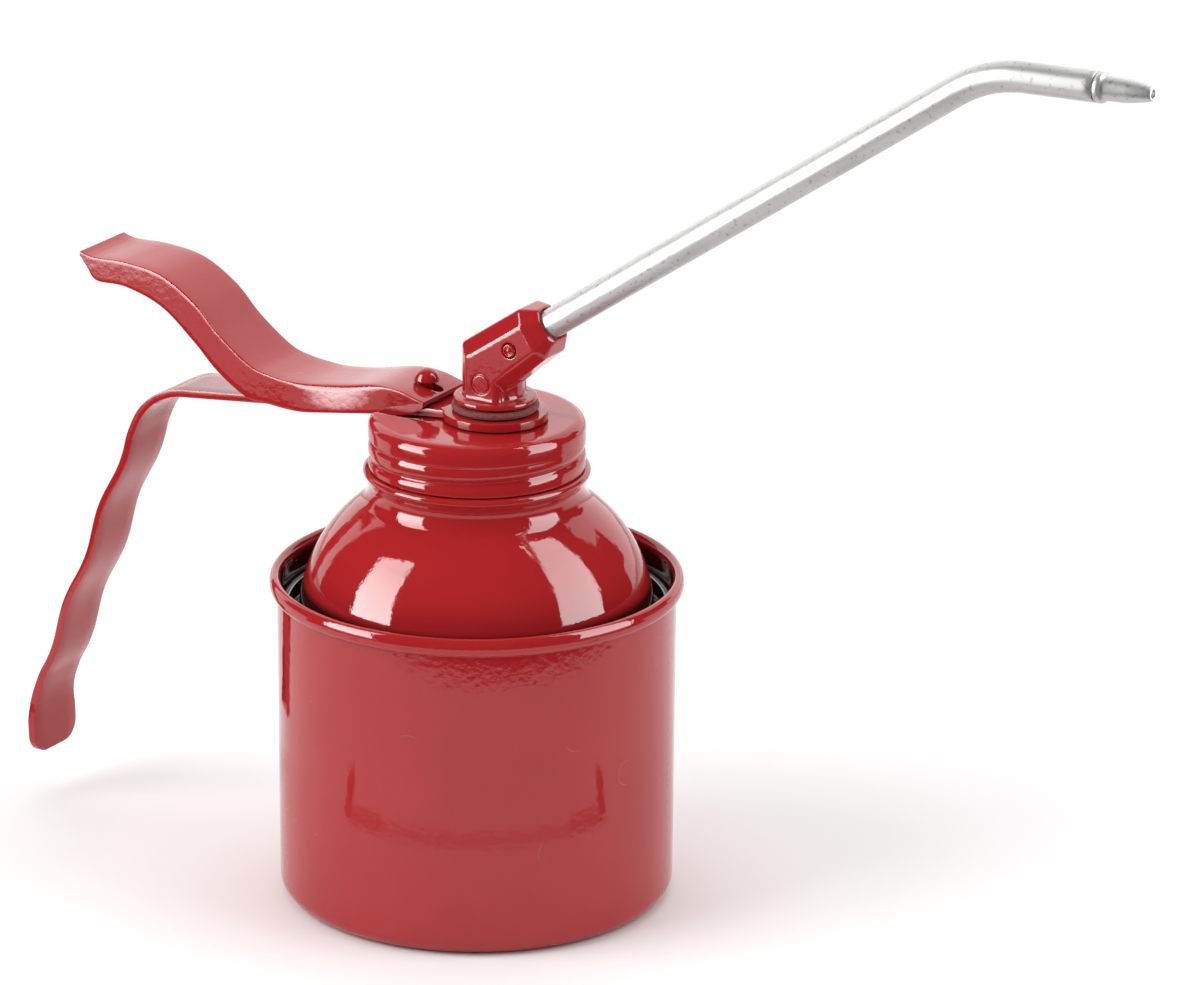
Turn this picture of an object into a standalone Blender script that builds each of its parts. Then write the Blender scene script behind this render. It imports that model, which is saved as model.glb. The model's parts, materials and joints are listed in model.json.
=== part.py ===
"""Pump oil can: a steel vessel with a screw cap that carries a thumb lever, a piston pump and a spout.

Metres, +Z up. The origin is the centre of the cup's base and the spout points along +X.
"""

import math

import bmesh
import bpy
from mathutils import Matrix, Vector

# Fits and facets
SEAT_GAP = 0.0003
SLIDE_CLEARANCE = 0.0001
SIDE_CLEARANCE = 0.0002
CUT_OVERRUN = 0.0040
JOIN_OVERLAP = 0.0006
ROUND_STEPS = 32
FINE_STEPS = 20
SMALL_STEPS = 16
SHARP_EDGE = math.radians(35)
CUTTER_SPIN_SHARE = 0.37

# Cup
CUP_RADIUS = 0.0400
CUP_DRAFT = 0.00035
CUP_HEIGHT = 0.0675
CUP_WALL = 0.0008
CUP_CORNER = 0.0041
RIM_PROUD = 0.0015
RIM_HEIGHT = 0.0037

# Dome, its gutter in the cup and its collar
DOME_SHEET = 0.0006
DOME_ARC = 0.0299
GUTTER_WIDTH = 0.0026
GUTTER_DROP = 0.0100
GUTTER_LIP = 0.0037
GUTTER_CORNER = 0.0007
COLLAR_RADIUS = 0.0217
COLLAR_FILLET = 0.0040
COLLAR_HEIGHT = 0.00256
BEAD_RADIUS = 0.0227
BEAD_HEIGHT = 0.0016

# Rolled thread of cap and neck
THREAD_PITCH = 0.0038
THREAD_DEPTH = 0.00055
THREAD_START = 0.0016
THREAD_RUN_OUT = 0.0010
# Along one turn of the thread from the bottom of its groove, and how far the sheet stands out there.
CAP_THREAD_SHARES = ((0.00, 0.0), (0.20, 1.0), (0.80, 1.0))
NECK_THREAD_SHARES = ((0.00, 0.0), (0.27, 1.0), (0.73, 1.0))

# Neck
NECK_LIP = 0.0009
NECK_THREAD_DROP = 0.0017
NECK_THREAD_HEIGHT = 0.0047

# Cap
CAP_RADIUS = 0.0217
CAP_SHEET = 0.0005
CAP_CORNER = 0.0022
CAP_HEIGHT = 0.0088
CAP_DISHING = 0.0003
CAP_BOSS_RADIUS = 0.0092
CAP_BOSS_STEP = 0.0013
CAP_STEP_WIDTH = 0.0014
CAP_HEM = 0.0003
CAP_GASKET_THICKNESS = 0.0009
CAP_GASKET_WIDTH = 0.0020

# Places of the pump's two axes along the spout's direction
RISER_X = 0.0043
ROD_X = -0.0118

# Strap
STRAP_SHEET = 0.0015
STRAP_WIDTH = 0.0130
LUG_RADIUS = 0.0105
ARM_START_X = -0.0050
ARM_SLOPE = math.radians(6.35)
ARM_END_X = -0.0669
STRAP_BEND = 0.0150
GRIP_SLOPE = math.radians(22.1)
GRIP_LENGTH = 0.0661
FINGER_PITCH = 0.0240
FINGER_DEPTH = 0.0011
FIRST_CREST_SHARE = 0.38
GRIP_END_BEND = 0.0200
GRIP_END_TURN = math.radians(24.0)
GRIP_END_LENGTH = 0.0075
GRIP_END_CORNER = 0.0042
GRIP_END_FLARE = 0.0009
RIB_X = -0.0370
RIB_HEIGHT = 0.0021
RIB_HALF_WIDTH = 0.0030

# Thumb lever
LEVER_SHEET = 0.0012
LEVER_FOLD = 0.0016
LEVER_REACH = 0.0520
LEVER_NOSE = 0.0288
LEVER_RISE = 0.01835
FLANGE_DEPTH = 0.0082
LEVER_TRAVEL = math.radians(16.0)
# Along the lever from its fulcrum, rise of the web and depth of the flanges.
LEVER_SHARES = (
    (-1.000, 0.978, 0.16),
    (-0.944, 0.986, 0.56),
    (-0.808, 1.000, 0.62),
    (-0.640, 0.930, 0.80),
    (-0.490, 0.690, 1.00),
    (-0.381, 0.395, 0.98),
    (-0.246, 0.120, 0.89),
    (-0.150, 0.030, 0.74),
    (0.000, 0.000, 0.71),
    (0.300, 0.058, 0.68),
    (0.600, 0.152, 0.72),
    (0.800, 0.148, 0.62),
    (0.930, 0.100, 0.36),
    (1.000, 0.068, 0.12),
)

# Elbow
FLANGE_RADIUS = 0.0084
FLANGE_THICKNESS = 0.0012
ELBOW_GASKET_RADIUS = 0.00875
ELBOW_GASKET_THICKNESS = 0.0014
COLUMN_RADIUS = 0.00575
ELBOW_HALF_WIDTH = 0.0058
ELBOW_REAR = 0.0053
ELBOW_PAD = 0.0042
ELBOW_PAD_CHAMFER = 0.0008
ELBOW_REAR_HEIGHT = 0.0090
ELBOW_TURN_HEIGHT = 0.0078
ELBOW_CHAMFER = 0.0021
BARREL_TOP_CHAMFER = 0.0032
BARREL_RISE = math.radians(34.5)
BARREL_DRAFT = math.radians(6.5)
BARREL_HALF_HEIGHT = 0.0056
BARREL_LENGTH = 0.0161
BARREL_NOSE = 0.0031
NOSE_END_SHARE = 0.68
ELBOW_BORE = 0.0015
SHANK_RADIUS = 0.0038
SHANK_LENGTH = 0.0110
PLUG_RADIUS = 0.0014
PLUG_SETBACK = 0.0010
PLUG_DROP = 0.00065
PLUG_PROUD = 0.0005
PLUG_CROWN_SHARE = 0.9

# Spout
SPOUT_RADIUS = 0.0030
SPOUT_BORE = 0.0023
SPOUT_SOCKET = 0.0060
SPOUT_STRAIGHT = 0.1087
SPOUT_BEND = 0.0280
SPOUT_END_RISE = math.radians(2.0)
SPOUT_END_LENGTH = 0.0150
JET_LENGTH = 0.0120
JET_SPIGOT = 0.0050
JET_SHOULDER = 0.0018
JET_BARREL_RADIUS = 0.00255
JET_BARREL_LENGTH = 0.0062
JET_TAPER_SHARE = 0.88
JET_END_RADIUS = 0.0011
JET_HOLE = 0.0005

# Piston rod
ROD_RADIUS = 0.0014
ROD_HEAD = 0.0026
ROD_TIP = 0.0012

# Pump body under the cap
PUMP_GASKET_RADIUS = 0.0070
PUMP_GASKET_THICKNESS = 0.0008
RISER_RADIUS = 0.0070
RISER_LENGTH = 0.0170
RISER_FLOOR = 0.0020
BALL_CHAMBER = 0.0024
SEAT_BORE = 0.0013
SEAT_LENGTH = 0.0025
CYLINDER_BOSS_WALL = 0.0010
GLAND_RADIUS = 0.0033
GLAND_LENGTH = 0.0029
PACKING_LENGTH = 0.0017
HEAD_WALL = 0.0015
HEAD_CHAMBER = 0.0022
CYLINDER_SOCKET = 0.0048
BODY_WEB_WIDTH = 0.0076
BODY_WEB_DEPTH = 0.0060
OIL_WAY = 0.0009

# Pump cylinder and what moves in it
CYLINDER_BORE = 0.0038
CYLINDER_WALL = 0.0007
CYLINDER_LENGTH = 0.0320
PISTON_DEPTH = 0.0145
PISTON_LENGTH = 0.0030
CUP_LEATHER_LENGTH = 0.0024
CUP_LEATHER_WALL = 0.0007
PISTON_NUT_RADIUS = 0.0026
PISTON_NUT_LENGTH = 0.0022
RETURN_WIRE = 0.00035
RETURN_TURNS = 5
TURN_POINTS = 8
DELIVERY_WIRE = 0.0002
DELIVERY_TURNS = 3
BALL_RADIUS = 0.0019
BALL_CLEARANCE = 0.0001
SPRING_REST_SHARE = 0.7

# Inlet
FOOT_SPIGOT_LENGTH = 0.0040
FOOT_LENGTH = 0.0080
FOOT_CAGE_LIFT = 0.0012
FOOT_ROOF = 0.0012
DIP_RADIUS = 0.0025
DIP_WALL = 0.0005
DIP_SOCKET = 0.0030
FLOOR_CLEARANCE = 0.0030
STRAINER_RADIUS = 0.0042
STRAINER_LENGTH = 0.0080
STRAINER_WALL = 0.0005
STRAINER_HOLE = 0.0011

# Levels that follow from the sizes above
GUTTER_Z = CUP_HEIGHT - GUTTER_DROP
GUTTER_OUTER = CUP_RADIUS - CUP_WALL - SEAT_GAP - DOME_SHEET
DOME_RADIUS = GUTTER_OUTER - GUTTER_WIDTH
DOME_CENTRE_R = DOME_RADIUS - DOME_ARC
DOME_CENTRE_Z = GUTTER_Z + GUTTER_CORNER
FILLET_CENTRE_R = COLLAR_RADIUS + COLLAR_FILLET
DOME_SWEEP = math.acos((FILLET_CENTRE_R - DOME_CENTRE_R) / (DOME_ARC + COLLAR_FILLET))
FILLET_CENTRE_Z = DOME_CENTRE_Z + (DOME_ARC + COLLAR_FILLET) * math.sin(DOME_SWEEP)
CAP_SEAT_Z = FILLET_CENTRE_Z + COLLAR_HEIGHT + BEAD_HEIGHT

# Heights above the seat of the cap, for everything the cap carries
CAP_RIM = CAP_HEIGHT + SEAT_GAP
THREAD_TOP = CAP_RIM - THREAD_START
NECK_HEIGHT = CAP_HEIGHT - CAP_SHEET - CAP_GASKET_THICKNESS - SEAT_GAP
CAP_BOSS = CAP_RIM + CAP_DISHING + CAP_BOSS_STEP
LUG_BASE = CAP_BOSS + SEAT_GAP
LUG_TOP = LUG_BASE + STRAP_SHEET
ELBOW_GASKET_BASE = LUG_TOP + SEAT_GAP
FLANGE_BASE = ELBOW_GASKET_BASE + ELBOW_GASKET_THICKNESS + SEAT_GAP
FLANGE_TOP = FLANGE_BASE + FLANGE_THICKNESS
BARREL_TURN = FLANGE_TOP + ELBOW_TURN_HEIGHT
RIB_TOP = LUG_TOP + (RIB_X - ARM_START_X) * math.tan(ARM_SLOPE) + RIB_HEIGHT
FULCRUM = RIB_TOP + SEAT_GAP / 2
RISER_TOP = CAP_BOSS - CAP_SHEET - PUMP_GASKET_THICKNESS - 2 * SEAT_GAP
HEAD_TOP = CAP_HEIGHT - CAP_SHEET - SEAT_GAP
SHANK_END = FLANGE_BASE - SHANK_LENGTH

CYLINDER_RADIUS = CYLINDER_BORE + CYLINDER_WALL
NECK_RADIUS = CAP_RADIUS - THREAD_DEPTH - CAP_SHEET - SEAT_GAP
PLUG_ALONG = BARREL_LENGTH - SPOUT_SOCKET - PLUG_SETBACK - PLUG_RADIUS
GLAND_RECESS = HEAD_TOP - SEAT_GAP - GLAND_LENGTH - PACKING_LENGTH - 2 * SEAT_GAP
CHAMBER_TOP = GLAND_RECESS - HEAD_WALL
CYLINDER_TOP = CHAMBER_TOP - HEAD_CHAMBER - SEAT_GAP
CYLINDER_END = CYLINDER_TOP - CYLINDER_LENGTH
PISTON_TOP = CHAMBER_TOP - PISTON_DEPTH
PISTON_BASE = PISTON_TOP - PISTON_LENGTH
LEATHER_TOP = PISTON_BASE - SEAT_GAP
LEATHER_BASE = LEATHER_TOP - CUP_LEATHER_LENGTH
NUT_TOP = LEATHER_BASE - SEAT_GAP
NUT_BASE = NUT_TOP - PISTON_NUT_LENGTH
RISER_BASE = RISER_TOP - RISER_LENGTH
DELIVERY_SEAT = RISER_BASE + RISER_FLOOR + SEAT_LENGTH
FOOT_SHOULDER = CYLINDER_END - SEAT_GAP
FOOT_BASE = FOOT_SHOULDER - FOOT_LENGTH
FOOT_SEAT = FOOT_BASE + DIP_SOCKET + SEAT_GAP + SEAT_BORE


def clear_scene():
    for obj in list(bpy.data.objects):
        bpy.data.objects.remove(obj, do_unlink=True)


def new_collection(name):
    collection = bpy.data.collections.new(name)
    bpy.context.scene.collection.children.link(collection)
    return collection


clear_scene()
PARTS = new_collection("pump_oil_can")
CUTTERS = new_collection("cutters")


def principled(name, colour, roughness, metallic=0.0, coat=0.0):
    """A material with one colour, given as linear red, green and blue."""
    material = bpy.data.materials.new(name)
    material.use_nodes = True
    shader = material.node_tree.nodes["Principled BSDF"]
    shader.inputs["Base Color"].default_value = (*colour, 1.0)
    shader.inputs["Roughness"].default_value = roughness
    shader.inputs["Metallic"].default_value = metallic
    shader.inputs["Coat Weight"].default_value = coat
    material.diffuse_color = (*colour, 1.0)
    return material


def red_enamel(piece):
    return principled(piece + "_red_enamel", (0.45, 0.012, 0.02), 0.18, coat=0.5)


def bare_aluminium(piece):
    return principled(piece + "_bare_aluminium", (0.72, 0.72, 0.71), 0.35, metallic=1.0)


def bright_steel(piece):
    return principled(piece + "_bright_steel", (0.56, 0.56, 0.55), 0.25, metallic=1.0)


def drawn_brass(piece):
    return principled(piece + "_drawn_brass", (0.66, 0.45, 0.15), 0.3, metallic=1.0)


def cast_zinc(piece):
    return principled(piece + "_cast_zinc", (0.42, 0.42, 0.43), 0.5, metallic=1.0)


def red_fibre(piece):
    return principled(piece + "_red_fibre", (0.24, 0.07, 0.055), 0.85)


def black_rubber(piece):
    return principled(piece + "_black_rubber", (0.02, 0.02, 0.02), 0.7)


def empty(name, location, parent=None):
    frame = bpy.data.objects.new(name, None)
    PARTS.objects.link(frame)
    frame.location = location
    frame.parent = parent
    return frame


def finish_mesh(mesh):
    """Turn the faces outward and shade the round stretches smooth."""
    mesh.shade_smooth()
    mesh.set_sharp_from_angle(angle=SHARP_EDGE)


def add_object(name, mesh, material, location, parent):
    obj = bpy.data.objects.new(name, mesh)
    PARTS.objects.link(obj)
    obj.location = location
    obj.parent = parent
    mesh.materials.append(material)
    return obj


def make_cutter(obj):
    """Move an object to the cutters, where it is neither drawn nor rendered."""
    for collection in list(obj.users_collection):
        collection.objects.unlink(obj)
    CUTTERS.objects.link(obj)
    obj.hide_render = True
    obj.display_type = "WIRE"
    return obj


def boolean(obj, other, operation):
    modifier = obj.modifiers.new(other.name, "BOOLEAN")
    modifier.operation = operation
    modifier.object = make_cutter(other)


def cut(obj, *cutters):
    for cutter in cutters:
        boolean(obj, cutter, "DIFFERENCE")


def join(obj, *others):
    for other in others:
        boolean(obj, other, "UNION")


def arc(centre, radius, start, end, count):
    """Points on an arc in degrees, both ends included."""
    points = []
    for index in range(count):
        angle = math.radians(start + (end - start) * index / (count - 1))
        points.append((centre[0] + radius * math.cos(angle), centre[1] + radius * math.sin(angle)))
    return points


def smooth_through(rows, steps):
    """A smooth curve through rows of numbers, with steps points to each span."""
    ends = [rows[0], *rows, rows[-1]]
    curve = []
    for index in range(1, len(ends) - 2):
        for step in range(steps):
            part = step / steps
            curve.append(tuple(
                0.5 * (
                    2 * b + (c - a) * part + (2 * a - 5 * b + 4 * c - d) * part ** 2
                    + (3 * b - a - 3 * c + d) * part ** 3
                )
                for a, b, c, d in zip(*ends[index - 1:index + 3])
            ))
    curve.append(rows[-1])
    return curve


def turned(name, outline, material, location, parent, ring=False, steps=ROUND_STEPS, spin=0.0):
    """Turn an outline of (radius, height) points about Z. It runs down the outer side.

    The facets start at spin, a share of one facet.
    """
    mesh = bpy.data.meshes.new(name)
    start = math.tau * spin / steps
    edges = [(index, index + 1) for index in range(len(outline) - 1)]
    if ring:
        edges.append((len(outline) - 1, 0))
    mesh.from_pydata([(r * math.cos(start), r * math.sin(start), z) for r, z in outline], edges, [])
    obj = add_object(name, mesh, material, location, parent)
    screw = obj.modifiers.new("turn", "SCREW")
    screw.steps = steps
    screw.render_steps = steps
    screw.use_merge_vertices = True
    screw.merge_threshold = 0.00001
    screw.use_smooth_shade = True
    return obj


def rod_cutter(name, radius, low, high, location, parent, steps=SMALL_STEPS):
    """A plain round bar along Z from low to high."""
    outline = [(0.0, high), (radius, high), (radius, low), (0.0, low)]
    return turned(name, outline, None, location, parent, steps=steps, spin=CUTTER_SPIN_SHARE)


SIDE_VIEW = Matrix.Rotation(math.pi / 2, 4, "X")


def flat_outline(name, points, half_depth, material, location, parent, turn=SIDE_VIEW):
    """A solid of an outline, half_depth thick to each side of it, standing in X and Z."""
    curve = bpy.data.curves.new(name, "CURVE")
    curve.dimensions = "2D"
    curve.fill_mode = "BOTH"
    curve.extrude = half_depth
    spline = curve.splines.new("POLY")
    spline.points.add(len(points) - 1)
    for point, (across, up) in zip(spline.points, points):
        point.co = (across, up, 0.0, 1.0)
    spline.use_cyclic_u = True
    return mesh_of_curve(name, curve, material, location, parent, turn)


def mesh_of_curve(name, curve, material, location, parent, turn=None):
    """The mesh object of a curve, with its caps welded and turned as asked."""
    guide = bpy.data.objects.new(name + "_guide", curve)
    PARTS.objects.link(guide)
    graph = bpy.context.evaluated_depsgraph_get()
    mesh = bpy.data.meshes.new_from_object(guide.evaluated_get(graph))
    bpy.data.objects.remove(guide, do_unlink=True)
    solid = bmesh.new()
    solid.from_mesh(mesh)
    bmesh.ops.remove_doubles(solid, verts=solid.verts, dist=0.000001)
    if turn is not None:
        bmesh.ops.transform(solid, matrix=turn, verts=solid.verts)
    bmesh.ops.recalc_face_normals(solid, faces=solid.faces)
    solid.to_mesh(mesh)
    solid.free()
    mesh.materials.clear()
    mesh.name = name
    finish_mesh(mesh)
    return add_object(name, mesh, material, location, parent)


def tube_along(name, points, radius, resolution, material, location, parent):
    curve = bpy.data.curves.new(name, "CURVE")
    curve.dimensions = "3D"
    curve.bevel_depth = radius
    curve.bevel_resolution = resolution
    curve.use_fill_caps = True
    spline = curve.splines.new("POLY")
    spline.points.add(len(points) - 1)
    for point, place in zip(spline.points, points):
        point.co = (*place, 1.0)
    return mesh_of_curve(name, curve, material, location, parent)


def lofted(name, rows, material, location, parent, closed=False):
    """A sheet through rows of points. Seen from outside, rows run down and points run left to right."""
    sheet = bmesh.new()
    grid = [[sheet.verts.new(point) for point in row] for row in rows]
    for upper, lower in zip(grid, grid[1:]):
        columns = list(zip(upper, lower))
        if closed:
            columns.append(columns[0])
        for (a, b), (d, c) in zip(columns, columns[1:]):
            sheet.faces.new((a, b, c, d))
    bmesh.ops.remove_doubles(sheet, verts=sheet.verts, dist=0.000001)
    mesh = bpy.data.meshes.new(name)
    sheet.to_mesh(mesh)
    sheet.free()
    finish_mesh(mesh)
    return add_object(name, mesh, material, location, parent)


def thicken(obj, thickness):
    """Give a sheet its thickness on the side away from its normals."""
    solidify = obj.modifiers.new("sheet", "SOLIDIFY")
    solidify.thickness = thickness
    solidify.offset = -1.0
    solidify.use_even_offset = True


def thread_rows(radius, low, high, shares, plain):
    """Rows of a rolled right-hand thread between two heights, each row following the helix.

    The radius is that of the groove, and plain is the share of the depth at which the sheet runs out.
    """
    rows = []
    for turn in range(math.ceil((THREAD_TOP - low) / THREAD_PITCH) + 2):
        for along, stand in shares:
            row = []
            for column in range(ROUND_STEPS + 1):
                around = column / ROUND_STEPS
                height = THREAD_TOP + THREAD_PITCH * (around - turn - along)
                height = min(high, max(low, height))
                fade = min(1.0, (high - height) / THREAD_RUN_OUT, (height - low) / THREAD_RUN_OUT)
                proud = THREAD_DEPTH * (plain + (stand - plain) * fade)
                row.append(ring_point(radius + proud, height, around))
            rows.append(row)
    return rows


def ring_point(radius, height, around, centre_x=0.0):
    angle = math.tau * around
    return (centre_x + radius * math.cos(angle), radius * math.sin(angle), height)


def plain_rows(outline, centre_x=0.0):
    """Round rows of a pressed sheet, one for each (radius, height) point."""
    return [
        [ring_point(radius, height, column / ROUND_STEPS, centre_x) for column in range(ROUND_STEPS + 1)]
        for radius, height in outline
    ]


def cup_body(parent):
    inner = CUP_RADIUS - CUP_WALL
    rim_centre = (inner + CUP_RADIUS + RIM_PROUD) / 2
    rim_half_width = (CUP_RADIUS + RIM_PROUD - inner) / 2
    rim_middle = CUP_HEIGHT - RIM_HEIGHT / 2
    tuck = -math.acos((CUP_RADIUS - rim_centre) / rim_half_width)
    base_radius = CUP_RADIUS - CUP_DRAFT
    corner = CUP_CORNER - CUP_WALL
    outline = [(0.0, CUP_WALL)]
    outline += arc((base_radius - CUP_CORNER, CUP_CORNER), corner, -90, 0, 3)
    outline.append((inner, rim_middle))
    for index in range(1, 9):
        angle = math.pi + (tuck - math.pi) * index / 8
        outline.append((
            rim_centre + rim_half_width * math.cos(angle),
            rim_middle + RIM_HEIGHT / 2 * math.sin(angle),
        ))
    outline += arc((base_radius - CUP_CORNER, CUP_CORNER), CUP_CORNER, 0, -90, 4)
    outline.append((0.0, 0.0))
    return turned("cup_body", outline, red_enamel("cup_body"), (0, 0, 0), parent)


def dome_shoulder(parent):
    lip = [(NECK_RADIUS - NECK_LIP, NECK_HEIGHT)]
    lip += arc((NECK_RADIUS - NECK_LIP / 2, NECK_HEIGHT - NECK_LIP / 2), NECK_LIP / 2, 90, 0, 2)
    bead_half = BEAD_HEIGHT / 2
    below = [(NECK_RADIUS, SEAT_GAP), (NECK_RADIUS + SEAT_GAP, 0.0)]
    below += arc((BEAD_RADIUS - bead_half, -bead_half), bead_half, 90, -90, 3)
    below.append((COLLAR_RADIUS, -BEAD_HEIGHT))
    drop = CAP_SEAT_Z
    sweep = math.degrees(DOME_SWEEP)
    below += arc((FILLET_CENTRE_R, FILLET_CENTRE_Z - drop), COLLAR_FILLET, 180, 180 + sweep, 3)
    below += arc((DOME_CENTRE_R, DOME_CENTRE_Z - drop), DOME_ARC, sweep, 0, 6)[1:]
    floor = GUTTER_Z - drop
    below += arc((DOME_RADIUS + GUTTER_CORNER, floor + GUTTER_CORNER), GUTTER_CORNER, 180, 270, 2)[1:]
    below += arc((GUTTER_OUTER - GUTTER_CORNER, floor + GUTTER_CORNER), GUTTER_CORNER, -90, 0, 2)
    below.append((GUTTER_OUTER, floor + GUTTER_LIP))
    high = THREAD_TOP - NECK_THREAD_DROP
    thread = thread_rows(NECK_RADIUS, high - NECK_THREAD_HEIGHT, high, NECK_THREAD_SHARES, 0.0)
    rows = plain_rows(lip) + thread + plain_rows(below)
    dome = lofted("dome_shoulder", rows, red_enamel("dome_shoulder"), (0, 0, CAP_SEAT_Z), parent)
    thicken(dome, DOME_SHEET)
    return dome


def screw_cap(parent):
    shoulder = CAP_RADIUS - CAP_CORNER
    boss = [
        (0.0, CAP_BOSS),
        (CAP_BOSS_RADIUS, CAP_BOSS),
        (CAP_BOSS_RADIUS + CAP_STEP_WIDTH / 2, CAP_BOSS - CAP_BOSS_STEP / 3),
        (CAP_BOSS_RADIUS + CAP_STEP_WIDTH, CAP_RIM + CAP_DISHING),
    ]
    corner = arc((shoulder, CAP_RIM - CAP_CORNER), CAP_CORNER, 90, 0, 4)
    hem = SEAT_GAP + CAP_HEM
    groove = CAP_RADIUS - THREAD_DEPTH
    rows = plain_rows(boss, RISER_X) + plain_rows(corner)
    rows += thread_rows(groove, hem, CAP_RIM - CAP_CORNER, CAP_THREAD_SHARES, 1.0)
    rows += plain_rows([(CAP_RADIUS, SEAT_GAP)])
    cap = lofted("screw_cap", rows, red_enamel("screw_cap"), (0, 0, 0), parent)
    thicken(cap, CAP_SHEET)
    low = -CUT_OVERRUN
    cut(
        cap,
        rod_cutter("cap_shank_hole", SHANK_RADIUS + SEAT_GAP, low, LUG_TOP, (RISER_X, 0, 0), parent),
        rod_cutter("cap_rod_hole", ROD_RADIUS + SEAT_GAP, low, LUG_TOP, (ROD_X, 0, 0), parent),
    )
    return cap


def washer(name, inner, outer, base, thickness, material, location, parent, steps=ROUND_STEPS):
    top = base + thickness
    outline = [(inner, top), (outer, top), (outer, base), (inner, base)]
    return turned(name, outline, material, location, parent, ring=True, steps=steps)


def cap_gasket(parent):
    outer = NECK_RADIUS - SEAT_GAP
    base = NECK_HEIGHT + SEAT_GAP
    return washer(
        "cap_gasket", outer - CAP_GASKET_WIDTH, outer, base, CAP_GASKET_THICKNESS,
        black_rubber("cap_gasket"), (0, 0, 0), parent,
    )


def arm_height(x):
    """Top of the strap's sloping arm at a place along X."""
    return LUG_TOP + min(0.0, x - ARM_START_X) * math.tan(ARM_SLOPE)


def strap_stations():
    """(x, z, half width) down the middle of the strap's outer side, from the lug to the grip's end."""
    half = STRAP_WIDTH / 2
    stations = []
    meet = math.pi - math.asin(half / LUG_RADIUS)
    for index in range(10):
        angle = meet * index / 9
        x = RISER_X + LUG_RADIUS * math.cos(angle)
        stations.append((x, arm_height(x), LUG_RADIUS * math.sin(angle)))
    stations.append((ARM_START_X, LUG_TOP, half))
    for index in range(7):
        x = RIB_X + RIB_HALF_WIDTH * (3 - index) / 3
        swell = RIB_HEIGHT * (1 + math.cos(math.pi * (3 - index) / 3)) / 2
        stations.append((x, arm_height(x) + swell, half))
    bend_x = ARM_END_X + STRAP_BEND * math.sin(ARM_SLOPE)
    bend_z = arm_height(ARM_END_X) - STRAP_BEND * math.cos(ARM_SLOPE)
    start = 90 + math.degrees(ARM_SLOPE)
    end = 180 - math.degrees(GRIP_SLOPE)
    for x, z in arc((bend_x, bend_z), STRAP_BEND, start, end, 6):
        stations.append((x, z, half))
    down = Vector((-math.sin(GRIP_SLOPE), -math.cos(GRIP_SLOPE)))
    inward = Vector((math.cos(GRIP_SLOPE), -math.sin(GRIP_SLOPE)))
    top = Vector(stations[-1][:2])
    count = 20
    for index in range(1, count + 1):
        along = GRIP_LENGTH * index / count
        wave = math.cos(math.tau * (along / FINGER_PITCH - FIRST_CREST_SHARE))
        settle = min(1.0, along / (FINGER_PITCH / 4), (GRIP_LENGTH - along) / (FINGER_PITCH / 4))
        place = top + down * along + inward * (FINGER_DEPTH / 2 * wave * settle)
        stations.append((place.x, place.y, half))
    foot = top + down * GRIP_LENGTH
    centre = foot + inward * GRIP_END_BEND
    turn = math.degrees(GRIP_END_TURN)
    bend = arc(centre, GRIP_END_BEND, end, end + turn, 6)[1:]
    for index, (x, z) in enumerate(bend):
        stations.append((x, z, half + GRIP_END_FLARE * (index + 1) / len(bend)))
    half += GRIP_END_FLARE
    last = Vector(stations[-1][:2])
    leave = math.radians(end + turn + 90)
    heading = Vector((math.cos(leave), math.sin(leave)))
    plain = GRIP_END_LENGTH - GRIP_END_CORNER
    stations.append((*(last + heading * plain), half))
    for angle in (25, 50, 75, 90):
        reach = plain + GRIP_END_CORNER * math.sin(math.radians(angle))
        width = half - GRIP_END_CORNER * (1 - math.cos(math.radians(angle)))
        stations.append((*(last + heading * reach), width))
    return stations


def handle_strap(parent):
    rows = [[(x, w, z), (x, -w, z)] for x, z, w in strap_stations()]
    strap = lofted("handle_strap", rows, red_enamel("handle_strap"), (0, 0, 0), parent)
    thicken(strap, STRAP_SHEET)
    low = LUG_BASE - CUT_OVERRUN
    high = LUG_TOP + CUT_OVERRUN
    cut(
        strap,
        rod_cutter("lug_hole", SHANK_RADIUS + SEAT_GAP, low, high, (RISER_X, 0, 0), parent),
        rod_cutter("strap_rod_hole", ROD_RADIUS + SEAT_GAP, low, high, (ROD_X, 0, 0), parent),
    )
    return strap


def lever_stations():
    """(x, height of the web's top, flange depth) from the thumb end to the nose, about the fulcrum."""
    stations = []
    for along, rise, depth in smooth_through(LEVER_SHARES, 2):
        x = along * (LEVER_REACH if along < 0 else LEVER_NOSE)
        stations.append((x, SEAT_GAP / 2 + LEVER_SHEET + LEVER_RISE * rise, FLANGE_DEPTH * depth))
    return stations


def web_height(x):
    """Top of the lever's web at a place along it."""
    stations = lever_stations()
    for (x0, z0, _), (x1, z1, _) in zip(stations, stations[1:]):
        if x0 <= x <= x1:
            return z0 + (z1 - z0) * (x - x0) / (x1 - x0)
    return stations[-1][1]


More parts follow.
